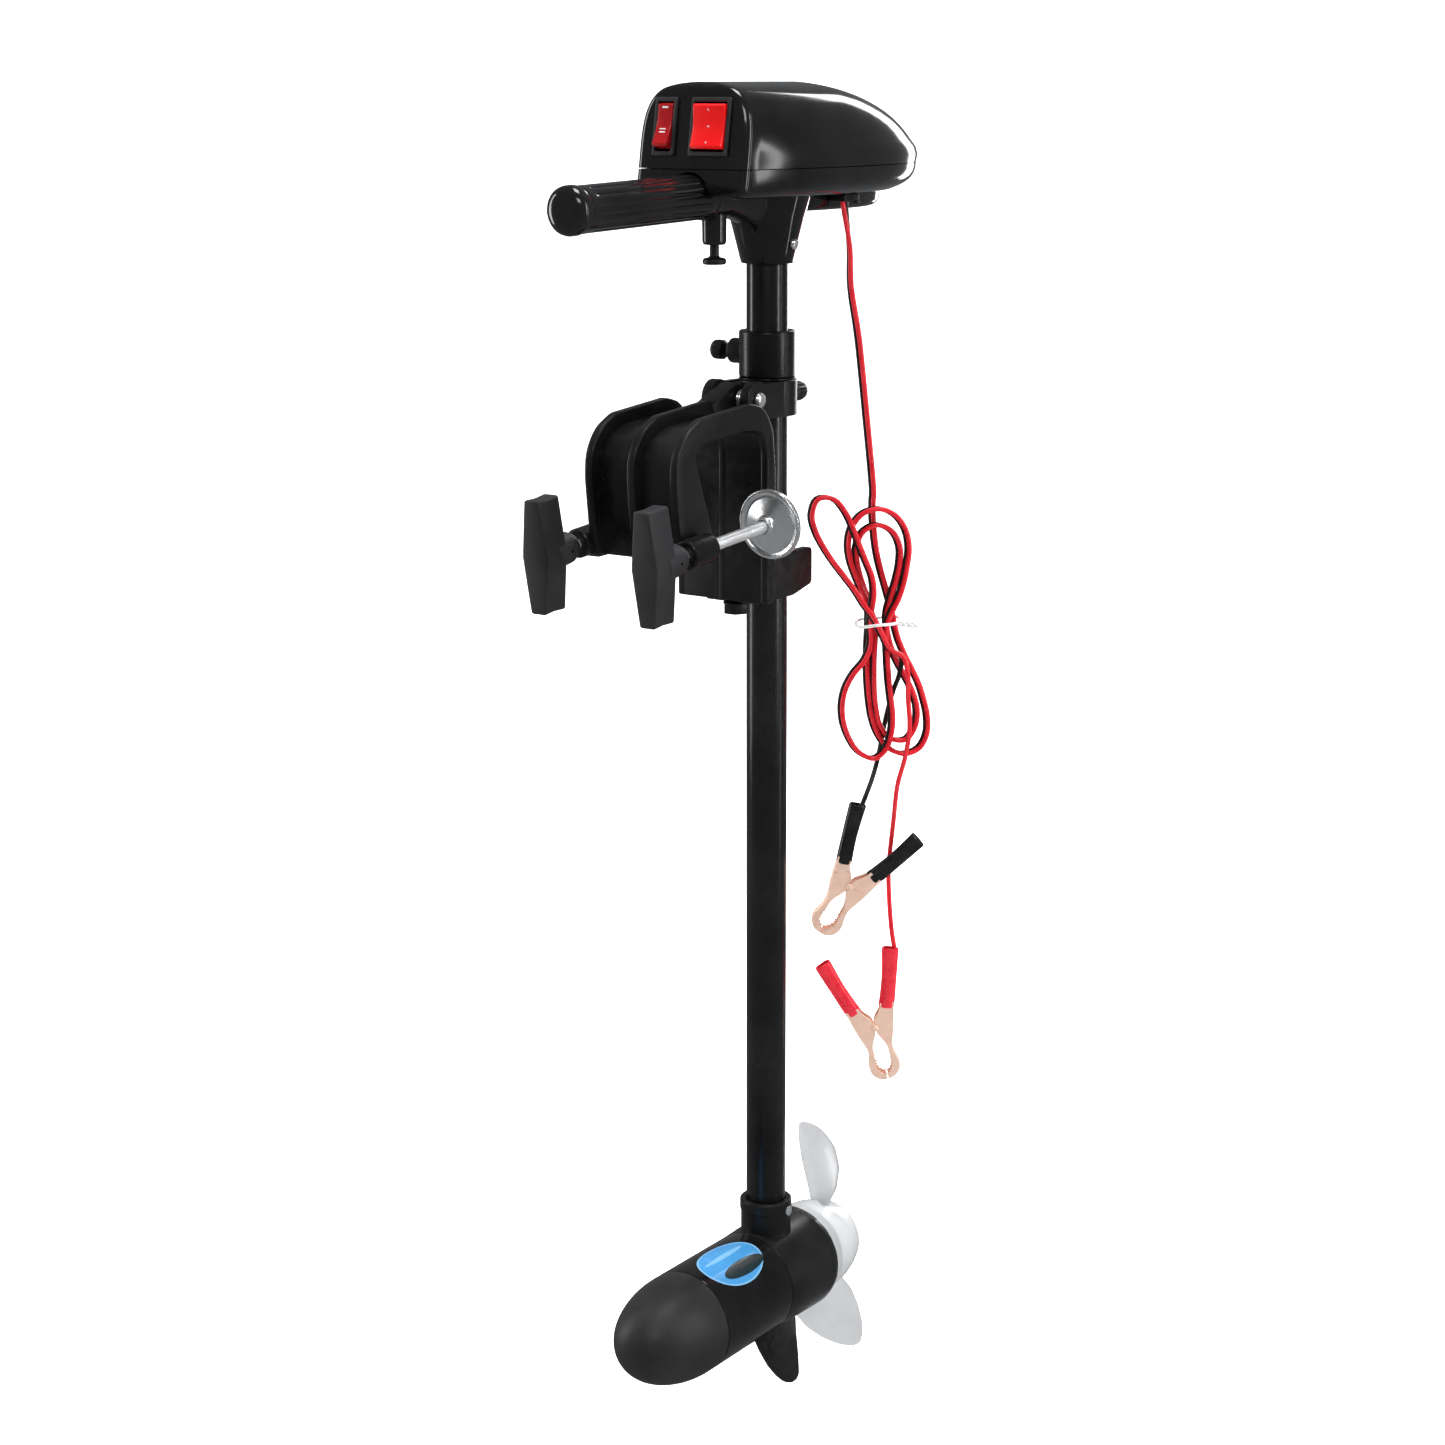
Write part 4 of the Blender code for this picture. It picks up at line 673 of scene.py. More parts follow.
def head_pan():
    outer = [lower_ring(z) for z in (76.5, 76.8, 77.3, 78.0, 78.8, 79.8, 81.0, 82.4, 84.0, 86.0,
                                     88.5, 91.75)]
    cavity = [lower_ring(z, HEAD_WALL) for z in (80.3, 82.0, 84.5, 88.0, 91.75)]
    shell = lined(skin(outer, True, False), skin(cavity, True, False), len(outer[0]))
    return carved(shell, rod(13.7, -0.9, 30, 56, TILLER), rod(TILLER_BORE, -95, 30, 40, TILLER),
                  rod(STEM_BORE, 60, 95, 48), brick((22.4, 34.0, 70), (29.6, 46.8, 84)))


def tiller_fairing():
    """The fairing between the tiller barrel and the neck."""
    rows = []
    for k in range(9):
        share = k / 8
        low = 65.6 - 11.5 * share**1.8
        half = 11.2 + 3.0 * share
        rows.append([(half * cos(a), -52 + 40 * share,
                      76.9 + (76.9 - low if sin(a) < 0 else 0.4) * sin(a)) for a in around(28)])
    return carved(skin(rows), rod(TILLER_BORE, -95, 30, 40, TILLER),
                  rod(STEM_BORE, 30, 95, 48))


def head_belly():
    """The shallow raised block under the pan."""
    rows = []
    for z, scale in ((66.4, 0.80), (66.6, 0.86), (67.2, 0.92), (68.4, 0.97), (70.4, 1.0),
                     (77.0, 1.0)):
        ring = []
        for angle in around(48):
            along = sin(angle)
            y = 40 + 68 * scale * along - 6 * (1 - scale) if along > 0 else 40 + 48 * along * scale
            ring.append((19.5 * scale * squared(cos(angle), 0.6), y, z))
        rows.append(ring)
    return skin(rows)


stand("head_upper_shell", upper_shell(), GLOSS_BLACK, sharp=40.0)

neck = turned([(12.15, 37.7), (15.0, 37.7), (18.1, 50.0), (21.7, 64.0), (25.6, 77.2),
               (12.15, 77.2)], [0.2, 1.2, 8, 8, 0.2, 0.2], 72)
barrel = turned([(TILLER_BORE, -58), (12.2, -58), (12.2, -0.2), (TILLER_BORE, -0.2)], 0.5, 48,
                TILLER)
pin_boss = turned([(2.9, 50.5), (6.0, 50.5), (6.7, 52.2), (6.9, 67.0), (5.1, 67.0), (5.1, 53.0),
                   (2.9, 53.0)], [0.2, 0.8, 2, 0.1, 0.1, 0.1, 0.1], 40, PULL_PIN)
stand("head_lower_shell",
      join([head_pan(), neck, tiller_fairing(), barrel, pin_boss, head_belly()]),
      GLOSS_BLACK, sharp=38.0)

screw = turned([(0, 12.5), (1.6, 12.5), (1.6, 18.2), (3.1, 18.2), (3.1, 19.2), (2.4, 20.1),
                (0, 20.5)], [0, 0, 0, 0.2, 0.5, 0.8, 0], 28)
screw = carved(screw, brick((-2.6, -0.35, 19.8), (2.6, 0.35, 22)),
               brick((-0.35, -2.6, 19.8), (0.35, 2.6, 22)))
stand("neck_screw", screw.at(place((0, 0, 49), (1.0, -0.04, 0))), ZINC)


# ------------------------------------------------------------------ rocker switches
def switch_housing(width):
    """A rim standing proud of the panel, with an open case behind it."""
    half, well_half = width / 2, width / 2 - 2.0
    rim = rounded([(-half, -15.75), (half, -15.75), (half, 15.75), (-half, 15.75)], 1.1)
    well = rounded([(-well_half, -13.4), (well_half, -13.4), (well_half, 13.4),
                    (-well_half, 13.4)], 0.4, 3)
    # outlines are drawn across x and z, and raised along -y
    facing = framed((1, 0, 0), (0, 0, 1), (0, -1, 0))
    bezel = carved(plate(rim, 0.1, 2.1, facing), plate(well, -5, 6, facing))
    case = carved(brick((-half + 1.2, -1.2, -13.9), (half - 1.2, 19.5, 13.9)),
                  plate(well, -12, 6, facing))
    return softened(bezel, 0.45, 3, 40) + case


def rocker_y(z):
    return -4.3 - 1.8 * (abs(z) / 12.0) ** 1.6


def rocker(width):
    """A key whose face slopes both ways from its middle, with rounded lips at both ends."""
    face = []
    for z in np.linspace(-12.0, 12.0, 25):
        lip = max(0.0, (abs(z) / 12.0 - 0.93) / 0.07)
        face.append((rocker_y(z) + 1.3 * lip**2, z))
    back = [(2.6, 12.0), (6.0, 6.0), (6.6, 0.0), (6.0, -6.0), (2.6, -12.0)]
    half = width / 2 - 2.35
    return softened(side(face + back, -half, half), 0.5, 3, 50)


def rocker_mark(x0, z0, x1, z1):
    """A raised printed bar that follows the slope of the key's face."""
    bar = brick((x0, -0.09, z0), (x1, 0.25, z1))
    bar.verts[:, 1] += rocker_y(bar.verts[:, 2])
    return bar


# name, (x, width), lean in degrees, key finish, mark finish, marks as (x0, z0, x1, z1)
SWITCHES = [
    ("speed", SPEED, -9.0, DEEP_RED, MARK_WHITE,
     [(-1.9, 9.0, 1.9, 9.9), (-2.0, -2.6, 2.0, -2.0), (-2.0, -4.4, 2.0, -3.8)]),
    ("direction", DIRECTION, 0.0, RED_ROCKER, MARK_PINK,
     [(-0.6, 8.3, 0.6, 8.7), (-0.6, 8.7, -0.2, 9.6), (-0.7, -0.4, 0.7, 0.4),
      (-0.55, -9.2, 0.55, -8.2)]),
]
for tag, (x, width), lean, look, mark_look, marks in SWITCHES:
    stand(tag + "_switch_housing", switch_housing(width).at(on_panel(x)), BEZEL, sharp=40)
    key = rocker(width) + join([rocker_mark(*mark) for mark in marks]).painted(1)
    pose = rotation(lean, "X")
    pose[1, 3] = 1.5
    stand(tag + "_rocker", key.at(on_panel(x) @ pose), look, mark_look, sharp=35)


# ------------------------------------------------------------------ tiller
def flute(angle, height):
    """Fourteen shallow flutes along the grip, fading out at both ends."""
    if height < 9 or height > 112:
        return 1.0
    edge = min(1.0, (height - 9) / 3, (112 - height) / 3)
    return 1.0 - 0.055 * edge * (1 - abs(cos(angle * 7)) ** 0.5)


# radius, distance along the tiller
GRIP = [(9.2, 0.4), (13.2, 0.4), (13.25, 1.0), (13.25, 2.6), (12.9, 3.1), (12.55, 3.4)]
GRIP += [(12.55, h) for h in (5, 8.9, 9.6, 10.6, 12.2, 20, 30, 40, 50, 60, 70, 80, 90, 100,
                              108.8, 110.4, 111.4, 112.1, 114.5)]
GRIP += [(12.6, 116.2), (12.2, 116.7), (12.2, 117.3), (12.9, 117.9), (13.15, 119.0),
         (13.15, 122.5), (12.7, 124.4), (11.2, 126.4), (8.5, 127.7), (4.5, 128.3), (0, 128.5),
         (0, 121.2), (9.2, 121.2)]
stand("tiller_grip", lathe(GRIP, 112, TILLER, flute), GLOSS_BLACK, sharp=30)
stand("tiller_tube", turned([(7.5, -87), (9.0, -87), (9.0, 120.6), (7.5, 120.6)], 0.3, 56,
                            TILLER, arc=2), STEEL)
stand("pull_pin", turned(
    [(0, 39.6), (5.6, 39.6), (6.6, 40.3), (6.6, 42.3), (5.6, 43.2), (3.4, 43.6), (2.65, 44.4),
     (2.65, 64.4), (4.5, 64.4), (4.5, 65.8), (2.65, 65.8), (2.65, 68.0), (0, 68.0)],
    [0, 1.2, 0.8, 0.8, 1.0, 0.8, 1.0, 0.1, 0.2, 0.2, 0.1, 0.2, 0], 40, PULL_PIN), NYLON)
# the pin's spring sits under the pin's collar, with its lower end held by the boss
coil = [(3.85 * cos(2 * pi * k / 24), PULL_PIN_Y + 3.85 * sin(2 * pi * k / 24),
         54.0 + 9.6 * k / 120) for k in range(121)]
pin_spring = stand("pull_pin_spring", tube(coil, 0.45, 10), ZINC, sharp=50)
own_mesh(pin_spring)

# ------------------------------------------------------------------ clamp bracket
# (y, z) outlines with a radius per corner: the ribs and the wall share the mouth's inner edge
RIB = [(-128, -116), (-131, -98), (-134, -72), (-133, -58), (-124.5, -45.5), (-110, -38.8),
       (-62, -34.8), (-48.5, -38.2), (-40, -50.5), (-37.5, -72), (-37.5, -146), (-39.5, -150)]
RIB_RADII = [2, 60, 60, 28, 24, 16, 16, 16, 20, 60, 3, 1.5]
WALL = [(-121, -116), (-123.5, -98), (-126, -72), (-124.8, -60), (-117, -50.5), (-104, -45.5),
        (-64, -42.3), (-51.5, -46.5), (-43.5, -58), (-41.3, -75), (-41.0, -150)]
WALL_RADII = [1, 60, 60, 24, 20, 14, 14, 14, 18, 40, 1]
MOUTH = [(-46, -150), (-46, -63), (-50.5, -51.5), (-66, -49.5), (-104, -52), (-116.5, -56.5),
         (-113.5, -65), (-95, -116)]
MOUTH_RADII = [1, 16, 9, 20, 18, 6, 10, 1.5]
HINGE_Y, HINGE_Z = -33, -36.5
HINGE = place((0, HINGE_Y, HINGE_Z), (1, 0, 0))
SADDLE_BOLT = place((0, -32, 0))
CLAMP_X, CLAMP_TILT = 36.5, radians(4.5)


def clamp_frame(hand):
    """The frame of one clamp screw; its z runs rearwards to the pad."""
    return place((hand * CLAMP_X, -51, -102.7), (0.0, cos(CLAMP_TILT), sin(CLAMP_TILT)),
                 (1, 0, 0))


def hinge_arc(radius, angles):
    return [(HINGE_Y + radius * cos(radians(a)), HINGE_Z + radius * sin(radians(a)))
            for a in angles]


def hinge_bore():
    return rod(3.0, -30, 30, 32, HINGE)


def hooked(outline, radii, x0, x1, bevel, spread=0.0):
    """A hook-shaped slab; spread moves its mouth's edge outwards."""
    mouth = []
    for y, z in MOUTH:
        reach = hypot(y + 80, z + 85)
        mouth.append((y + spread * (y + 80) / reach, z + spread * (z + 85) / reach))
    return softened(side(rounded(outline + mouth, radii + MOUTH_RADII, 8), x0, x1), bevel, 3, 35)


def clamp_bracket():
    parts = [hooked(WALL, WALL_RADII, -28.5, 28.5, 0.6, 0.22)]
    for x0, x1 in ((-31, -26), (-2.5, 2.5), (26, 31)):
        parts.append(hooked(RIB, RIB_RADII, x0, x1, 1.3))
    knuckle = side([(-60, -37.7)] + hinge_arc(9, range(112, -101, -6))
                   + [(-41.4, -60), (-44, -63.8), (-51.8, -51.7)], -9.3, 3.0)
    parts.append(softened(carved(knuckle, hinge_bore()), 0.7, 3, 35))
    tongue = carved(brick((-9.5, -43, -143.7), (9.5, -22, -136.3)),
                    rod(3.2, -160, -120, 28, SADDLE_BOLT))
    parts.append(softened(tongue, 0.6, 2, 35))
    for hand in (-1, 1):
        at = clamp_frame(hand)
        edges = sorted((hand * 28, hand * CLAMP_X))
        web = softened(side(rounded([(-127.5, -117.2), (-127.5, -101.5), (-114.5, -101.5),
                                     (-114.5, -117.2)], 3), *edges), 0.8, 2, 40)
        parts.append(carved(web, rod(3.9, -120, -40, 32, at)))
        parts.append(turned([(3.75, -83.6), (7.4, -83.6), (8.3, -82.4), (8.3, -62.0),
                             (7.4, -61.0), (3.75, -61.0)], [0.1, 1.2, 0.5, 0.5, 1.2, 0.1], 48, at))
    return join(parts)


stand("clamp_bracket", clamp_bracket(), SATIN_BLACK, sharp=34)

saddle = side(rounded([(-37.2, -153), (2, -153), (22, -148.5), (22, -127), (-37.2, -127)],
                      [2, 6, 3, 3, 2], 5), -17, 17)
saddle = carved(saddle, rod(12.65, -170, -110, 64), brick((-12.65, 0.2, -170), (12.65, 40, -110)),
                brick((-9.9, -50, -144.1), (9.9, -21.5, -135.9)),
                rod(3.2, -170, -110, 28, SADDLE_BOLT))
stand("shaft_saddle", softened(saddle, 0.9, 3, 38), SATIN_BLACK, sharp=34)

bolt = join([
    softened(plate(hexagon(7.6), -160, -153.6), 0.6, 2, 40),
    turned([(0, -153.4), (7.4, -153.4), (7.4, -154.3), (0, -154.3)], 0.2, 40),
    thread(radius=3.0, depth=0.35, pitch=1.2, low=-154.0, high=-128.5, sides=20, per=6)])
stand("saddle_bolt", bolt.at(SADDLE_BOLT), SATIN_BLACK, sharp=30)

# ------------------------------------------------------------------ clamp screws, pads, handles
# radius, height along the screw
PAD = [(0, 1.0), (19.4, 1.0), (19.8, 0.4), (19.8, -1.7), (19.3, -2.3), (18.3, -2.3),
       (17.5, -1.6), (16.4, -0.9), (15.0, -1.0), (11.0, -2.9), (6.4, -5.1), (5.2, -6.0),
       (5.2, -8.0), (4.9, -8.3), (3.9, -8.3), (3.9, -1.6), (0, -1.6)]
# the waisted outline of the T's bar, x and y in the screw's frame
T_BAR = [(-5.1, 31.1), (-7.3, 12.6), (-8.7, 0), (-7.3, -12.6), (-5.1, -31.1), (5.1, -31.1),
         (7.3, -12.6), (8.7, 0), (7.3, 12.6), (5.1, 31.1)]


def t_handle():
    """A slab bar that grows longer towards its hub, both pierced for a cross pin."""
    rows = [[(x, y + copysign(grow, y) if abs(y) > 20 else y, z) for x, y in T_BAR]
            for z, grow in ((-121.0, -0.6), (-112, 0.1), (-102.5, 0.9))]
    bar = carved(softened(skin(rows), 1.5, 4, 32), rod(3.6, -108.6, -80, 28),
                 brick((-9.5, -0.7, -99.7), (9.5, 0.7, -98.3)))
    hub = turned([(3.6, -109), (9.3, -109), (9.3, -97.5), (8.9, -93.0), (7.4, -89.6),
                  (5.4, -88.0), (3.6, -88.0)], [0.1, 1, 2, 3, 2, 0.6, 0.2], 56)
    return bar + carved(hub, rod(0.95, -12, 12, 16, place((0, 0, -99.0), (1, 0, 0))))


for tag, hand in (("left", -1), ("right", 1)):
    at = clamp_frame(hand)
    stand(tag + "_clamp_pad", turned(PAD, 0.35, 96, at, arc=2), PAD_ZINC, sharp=35)
    spindle = thread(radius=3.45, depth=0.30, pitch=2.0, low=-108.0, high=-2.0, sides=28, per=8)
    stand(tag + "_clamp_screw", spindle.at(at), SCREW_ZINC, sharp=60)
    stand(tag + "_t_handle", t_handle().at(at), HANDLE, sharp=34)

# ------------------------------------------------------------------ hinge, tilt block, collar
KNOB = place((0, 0, -37.8), (0, 1, 0))
COLLAR_SCREW = place((0, 0, -13), (-1, 0, 0))

stand("hinge_pin", turned(
    [(0, -19.2), (2.6, -19.2), (3.8, -18.6), (4.5, -17.6), (4.5, -16.4), (2.9, -16.4),
     (2.9, 16.4), (4.5, 16.4), (4.5, 17.6), (3.8, 18.6), (2.6, 19.2), (0, 19.2)],
    0.25, 40, HINGE, arc=2), ZINC)
coil = [(3.9 + 5.0 * k / 72, HINGE_Y + 4.9 * cos(2 * pi * k / 22),
         HINGE_Z + 4.9 * sin(2 * pi * k / 22)) for k in range(73)]
stand("tilt_spring", tube(coil, 0.65, 10), ZINC)


def tilt_bracket():
    parts = [turned([(14.0, -48.5), (17.3, -48.5), (17.3, -28.0), (14.0, -28.0)],
                    [0.1, 0.8, 0.8, 0.1], 72),
             carved(brick((-15.5, -21.5, -47.8), (15.5, 1.6, -28.8)), rod(14.2, -70, 0, 56))]
    ear = ([(2, -28.2)] + hinge_arc(10.5, range(56, 271, 6))
           + [(-32, -47.5), (-24, -48.3), (2, -48.3)])
    for x0, x1 in ((-16.0, -10.2), (10.2, 16.0)):
        cut = carved(side(ear, x0, x1), hinge_bore(), rod(14.3, -70, 0, 56))
        parts.append(softened(cut, 0.8, 3, 35))
    boss = turned([(0, 13), (6.4, 13), (6.4, 25), (0, 25)], [0, 0.2, 0.9, 0], 40, KNOB)
    parts.append(carved(boss, rod(14.2, -70, 0, 56), rod(2.7, 5, 30, 24, KNOB)))
    return join(parts)


def knurl(count, depth, low, high):
    """A lathe scale with count ridges between two heights."""
    def scale(angle, height):
        return 1.0 - depth * (0.5 - 0.5 * cos(angle * count)) if low < height < high else 1.0
    return scale


stand("tilt_bracket", tilt_bracket(), SATIN_BLACK, sharp=34)
stand("steering_bush", turned([(12.15, -48.0), (13.9, -48.0), (13.9, -27.8), (16.3, -27.8),
                               (16.3, -26.95), (12.15, -26.95)], 0.2, 72, arc=2), NYLON)
stand("tension_knob", lathe(
    [(0, 14.4), (2.5, 14.4), (2.5, 25.4), (5.2, 25.4), (5.8, 26.2), (6.0, 27.2), (6.0, 29),
     (6.0, 31), (5.9, 32.6), (5.2, 35.2), (3.8, 37.3), (1.8, 38.4), (0, 38.6)],
    96, KNOB, knurl(count=16, depth=0.08, low=26.5, high=33)), NYLON)

collar = turned([(12.2, -26.6), (16.3, -26.6), (16.3, 0), (12.2, 0)], [0.3, 1.0, 1.4, 0.6], 96,
                arc=5)
collar_boss = carved(
    turned([(0, 13), (7.3, 13), (7.3, 24), (0, 24)], [0, 0.2, 0.9, 0], 48, COLLAR_SCREW),
    rod(12.3, -40, 10, 56), rod(2.5, 5, 30, 24, COLLAR_SCREW))
stand("depth_collar", collar + collar_boss, SATIN_BLACK, sharp=34)
stand("collar_thumb_screw", lathe(
    [(0, 12.4), (2.2, 12.4), (2.2, 28.2), (3.6, 28.6), (4.4, 29.2), (5.0, 29.6), (5.7, 30.2),
     (5.7, 31.8), (5.7, 34.2), (5.5, 36.0), (4.8, 36.7), (0, 36.9)],
    120, COLLAR_SCREW, knurl(count=22, depth=0.07, low=30, high=36.2)), NYLON)

# ------------------------------------------------------------------ shaft and motor pod
POD_Z, POD_RADIUS = -580.3, 31.5
POD = place((0, 0, POD_Z), (0, 1, 0), (1, 0, 0))

stand("shaft_tube", turned([(10, -544), (12, -544), (12, 62), (10, 62)], 0.4, 96, arc=2),
      SHAFT_BLACK)
stand("motor_body", turned([(29, -85.6), (31.2, -85.6), (POD_RADIUS, -85.0),
                            (POD_RADIUS, -18.0), (31.2, -17.5), (29, -17.5)], 0.2, 128, POD,
                           arc=2), POD_BLACK)

nose = [(0, -141.0)]
for k in range(1, 25):
    angle = pi / 2 * (k / 24)
    nose.append((POD_RADIUS * sin(angle) ** 0.85, -92.0 - 49.0 * cos(angle) ** 1.1))
nose += [(POD_RADIUS, -86.4), (31.1, -86.1), (28.8, -86.1), (28.8, -82), (26, -82), (24.5, -89),
         (8.3, -89), (8.3, -97.5), (0, -97.5)]
stand("nose_cone", lathe(nose, 128, POD), NOSE_BLACK, sharp=40)

rear_cap = turned(
    [(31.1, -17.1), (POD_RADIUS, -16.6), (32.3, 8.0), (32.7, 29.5), (32.0, 33.6), (29.6, 35.4),
     (8.4, 35.4), (8.4, 22.5), (12, 22.5), (13, 29.5), (27, 28.5), (27.6, -17.1)],
    [0.2, 0.3, 20, 3, 2, 1.2, 0.3, 0.2, 0.2, 0.2, 1, 0.2], 128, POD)
socket = turned(
    [(12.2, -557.0), (12.2, -529.8), (15.2, -529.8), (15.9, -530.5), (15.9, -536.4),
     (15.3, -537.4), (15.3, -549.5), (15.9, -553.6), (17.0, -556.4), (16, -557.0)],
    [0.1, 0.4, 0.4, 0.5, 0.6, 0.5, 4, 3, 0.3, 0.1], 96)
# y, z
FIN = [(-16.2, -606), (-13, -618), (-5, -632), (4, -645), (13, -655), (21.5, -662.5),
       (28.0, -665.4), (33.4, -665.5), (36.6, -662), (35.8, -650), (33, -632), (31, -606)]
fin = softened(side(rounded(FIN, [1, 20, 40, 40, 30, 14, 6, 3, 3, 20, 40, 1], 5), -1.9, 1.9),
               1.3, 4, 35)
stand("rear_housing", join([rear_cap, socket, fin]), SATIN_BLACK, sharp=34)

OVAL_STEPS, OVAL_RINGS = 36, 7


def oval_patch(radius, y, angle, half_length, half_angle):
    """An oval sheet wrapped on a cylinder about the pod's axis."""
    verts = [(radius * cos(angle), y, POD_Z + radius * sin(angle))]
    for ring in range(1, OVAL_RINGS + 1):
        for k in range(OVAL_STEPS):
            turn = 2 * pi * k / OVAL_STEPS
            wrap = angle + half_angle * ring / OVAL_RINGS * sin(turn)
            verts.append((radius * cos(wrap), y + half_length * ring / OVAL_RINGS * cos(turn),
                          POD_Z + radius * sin(wrap)))
    faces = [(0, 1 + k, 1 + (k + 1) % OVAL_STEPS) for k in range(OVAL_STEPS)]
    for ring in range(OVAL_RINGS - 1):
        start = 1 + ring * OVAL_STEPS
        for k in range(OVAL_STEPS):
            a, b = start + k, start + (k + 1) % OVAL_STEPS
            faces.append((a, a + OVAL_STEPS, b + OVAL_STEPS, b))
    return Shape(verts, faces)


def oval_label(radius, thick, y, angle, half_length, half_angle, slot):
    spread = (y, radians(angle), half_length, radians(half_angle))
    return lined(oval_patch(radius + thick, *spread), oval_patch(radius, *spread),
                 OVAL_STEPS).painted(slot)


# radius, thickness, centre y, centre angle, half length, half angle (degrees), material slot
LABEL_LAYERS = [
    (31.52, 0.10, -53.0, 71, 26.0, 32, 1),
    (31.60, 0.10, -53.0, 71, 24.6, 30.0, 0),
    (31.68, 0.08, -49.0, 57, 19.5, 9.5, 2),
    (31.68, 0.08, -53.0, 81, 19.0, 3.2, 1),
]
label = make("pod_label", join([oval_label(*layer) for layer in LABEL_LAYERS]),
             LABEL_BLUE, LABEL_RIM, LABEL_DARK)
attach(label, "drive_unit")

# ------------------------------------------------------------------ propeller
# radius, distance along the pod's axis
PROP_HUB = [(29.0, 36.2), (29.3, 37.0), (29.0, 48), (27.8, 58), (25.6, 66), (22.8, 73.2),
            (21.6, 73.8), (20.3, 73.0), (23.2, 65.6), (25.0, 58), (25.9, 48), (25.4, 45.6),
            (9.0, 45.6), (9.0, 56.0), (4.15, 56.0), (4.15, 37.6), (9.0, 37.6), (9.0, 42.0),
            (25.8, 42.0), (26.6, 36.2)]
BLADE_ROOT, BLADE_TIP = 26.0, 74.6
BLADE_ANGLE = radians(103)
BLADE_CAMBER = 0.035
# each pair: shares of the blade's span, and the values there
BLADE = [
    ([0, 0.2, 0.45, 0.7, 0.86, 0.94, 0.98, 1.0], [30, 40.5, 43, 38, 28, 19.5, 12, 4]),  # chord
    ([0, 0.2, 0.45, 0.7, 1.0], [-34, -28, -22, -18, -14]),  # pitch, degrees
    ([0, 0.4, 1.0], [3.8, 2.8, 1.2]),  # thickness
    ([0, 0.2, 0.45, 0.7, 0.9, 1.0], [6.5, 8.5, 8.6, 6.6, 2.6, -1.4]),  # sweep
    ([0, 0.2, 0.45, 0.7, 0.9, 1.0], [0.2, 3, 6, 9, 11, 12]),  # rake
]
# the blade's section: share of the chord, share of the thickness
section = [(c, sqrt(max(0.0, 1 - (2 * c) ** 2)) * 0.5 * (1 - 0.35 * c))
           for c in np.sin(np.linspace(-pi / 2, pi / 2, 15)) * 0.5]
section += [(c, -h) for c, h in section[::-1]][1:-1]


def blade(base):
    radial = np.array((cos(base), 0.0, sin(base)))
    across = np.array((sin(base), 0.0, -cos(base)))
    rows = []
    for k in range(26):
        radius = BLADE_ROOT + (BLADE_TIP - BLADE_ROOT) * sin(pi / 2 * (k / 25)) ** 0.9
        span = (radius - BLADE_ROOT) / (BLADE_TIP - BLADE_ROOT)
        chord, pitch, thick, sweep, rake = (np.interp(span, *table) for table in BLADE)
        thick *= min(1.0, 0.35 + chord / 30)
        along = across * cos(radians(pitch)) + np.array((0, 1, 0)) * sin(radians(pitch))
        normal = np.cross(along, radial)
        normal /= np.linalg.norm(normal)
        centre = radial * radius + np.array((0, 60.3 + rake, POD_Z)) + across * sweep
        rows.append([centre + along * (c * chord)
                     + normal * (h * thick + BLADE_CAMBER * chord * (0.25 - c * c) * 2)
                     for c, h in section])
    return skin(rows)


hub = turned(PROP_HUB, 0.5, 96, POD, arc=3)
stand("propeller", join([hub, blade(BLADE_ANGLE), blade(BLADE_ANGLE + pi)]), PROP, sharp=38)
nut = carved(softened(plate(hexagon(7.0), 56.4, 61.8), 0.6, 2, 40), rod(4.2, 50, 70, 28))
stand("prop_nut", nut.at(POD), ZINC, sharp=34)

# ------------------------------------------------------------------ battery cable
HANG_TURN = radians(33.63)  # heading of the upright plane that the cable and clips hang in
HANG_DEPTH = 42.0
LEAD_SIDE = 1.42  # half the distance between the two leads


def hang(across, z, depth):
    return np.array((across * cos(HANG_TURN) - depth * sin(HANG_TURN),
                     across * sin(HANG_TURN) + depth * cos(HANG_TURN), z))


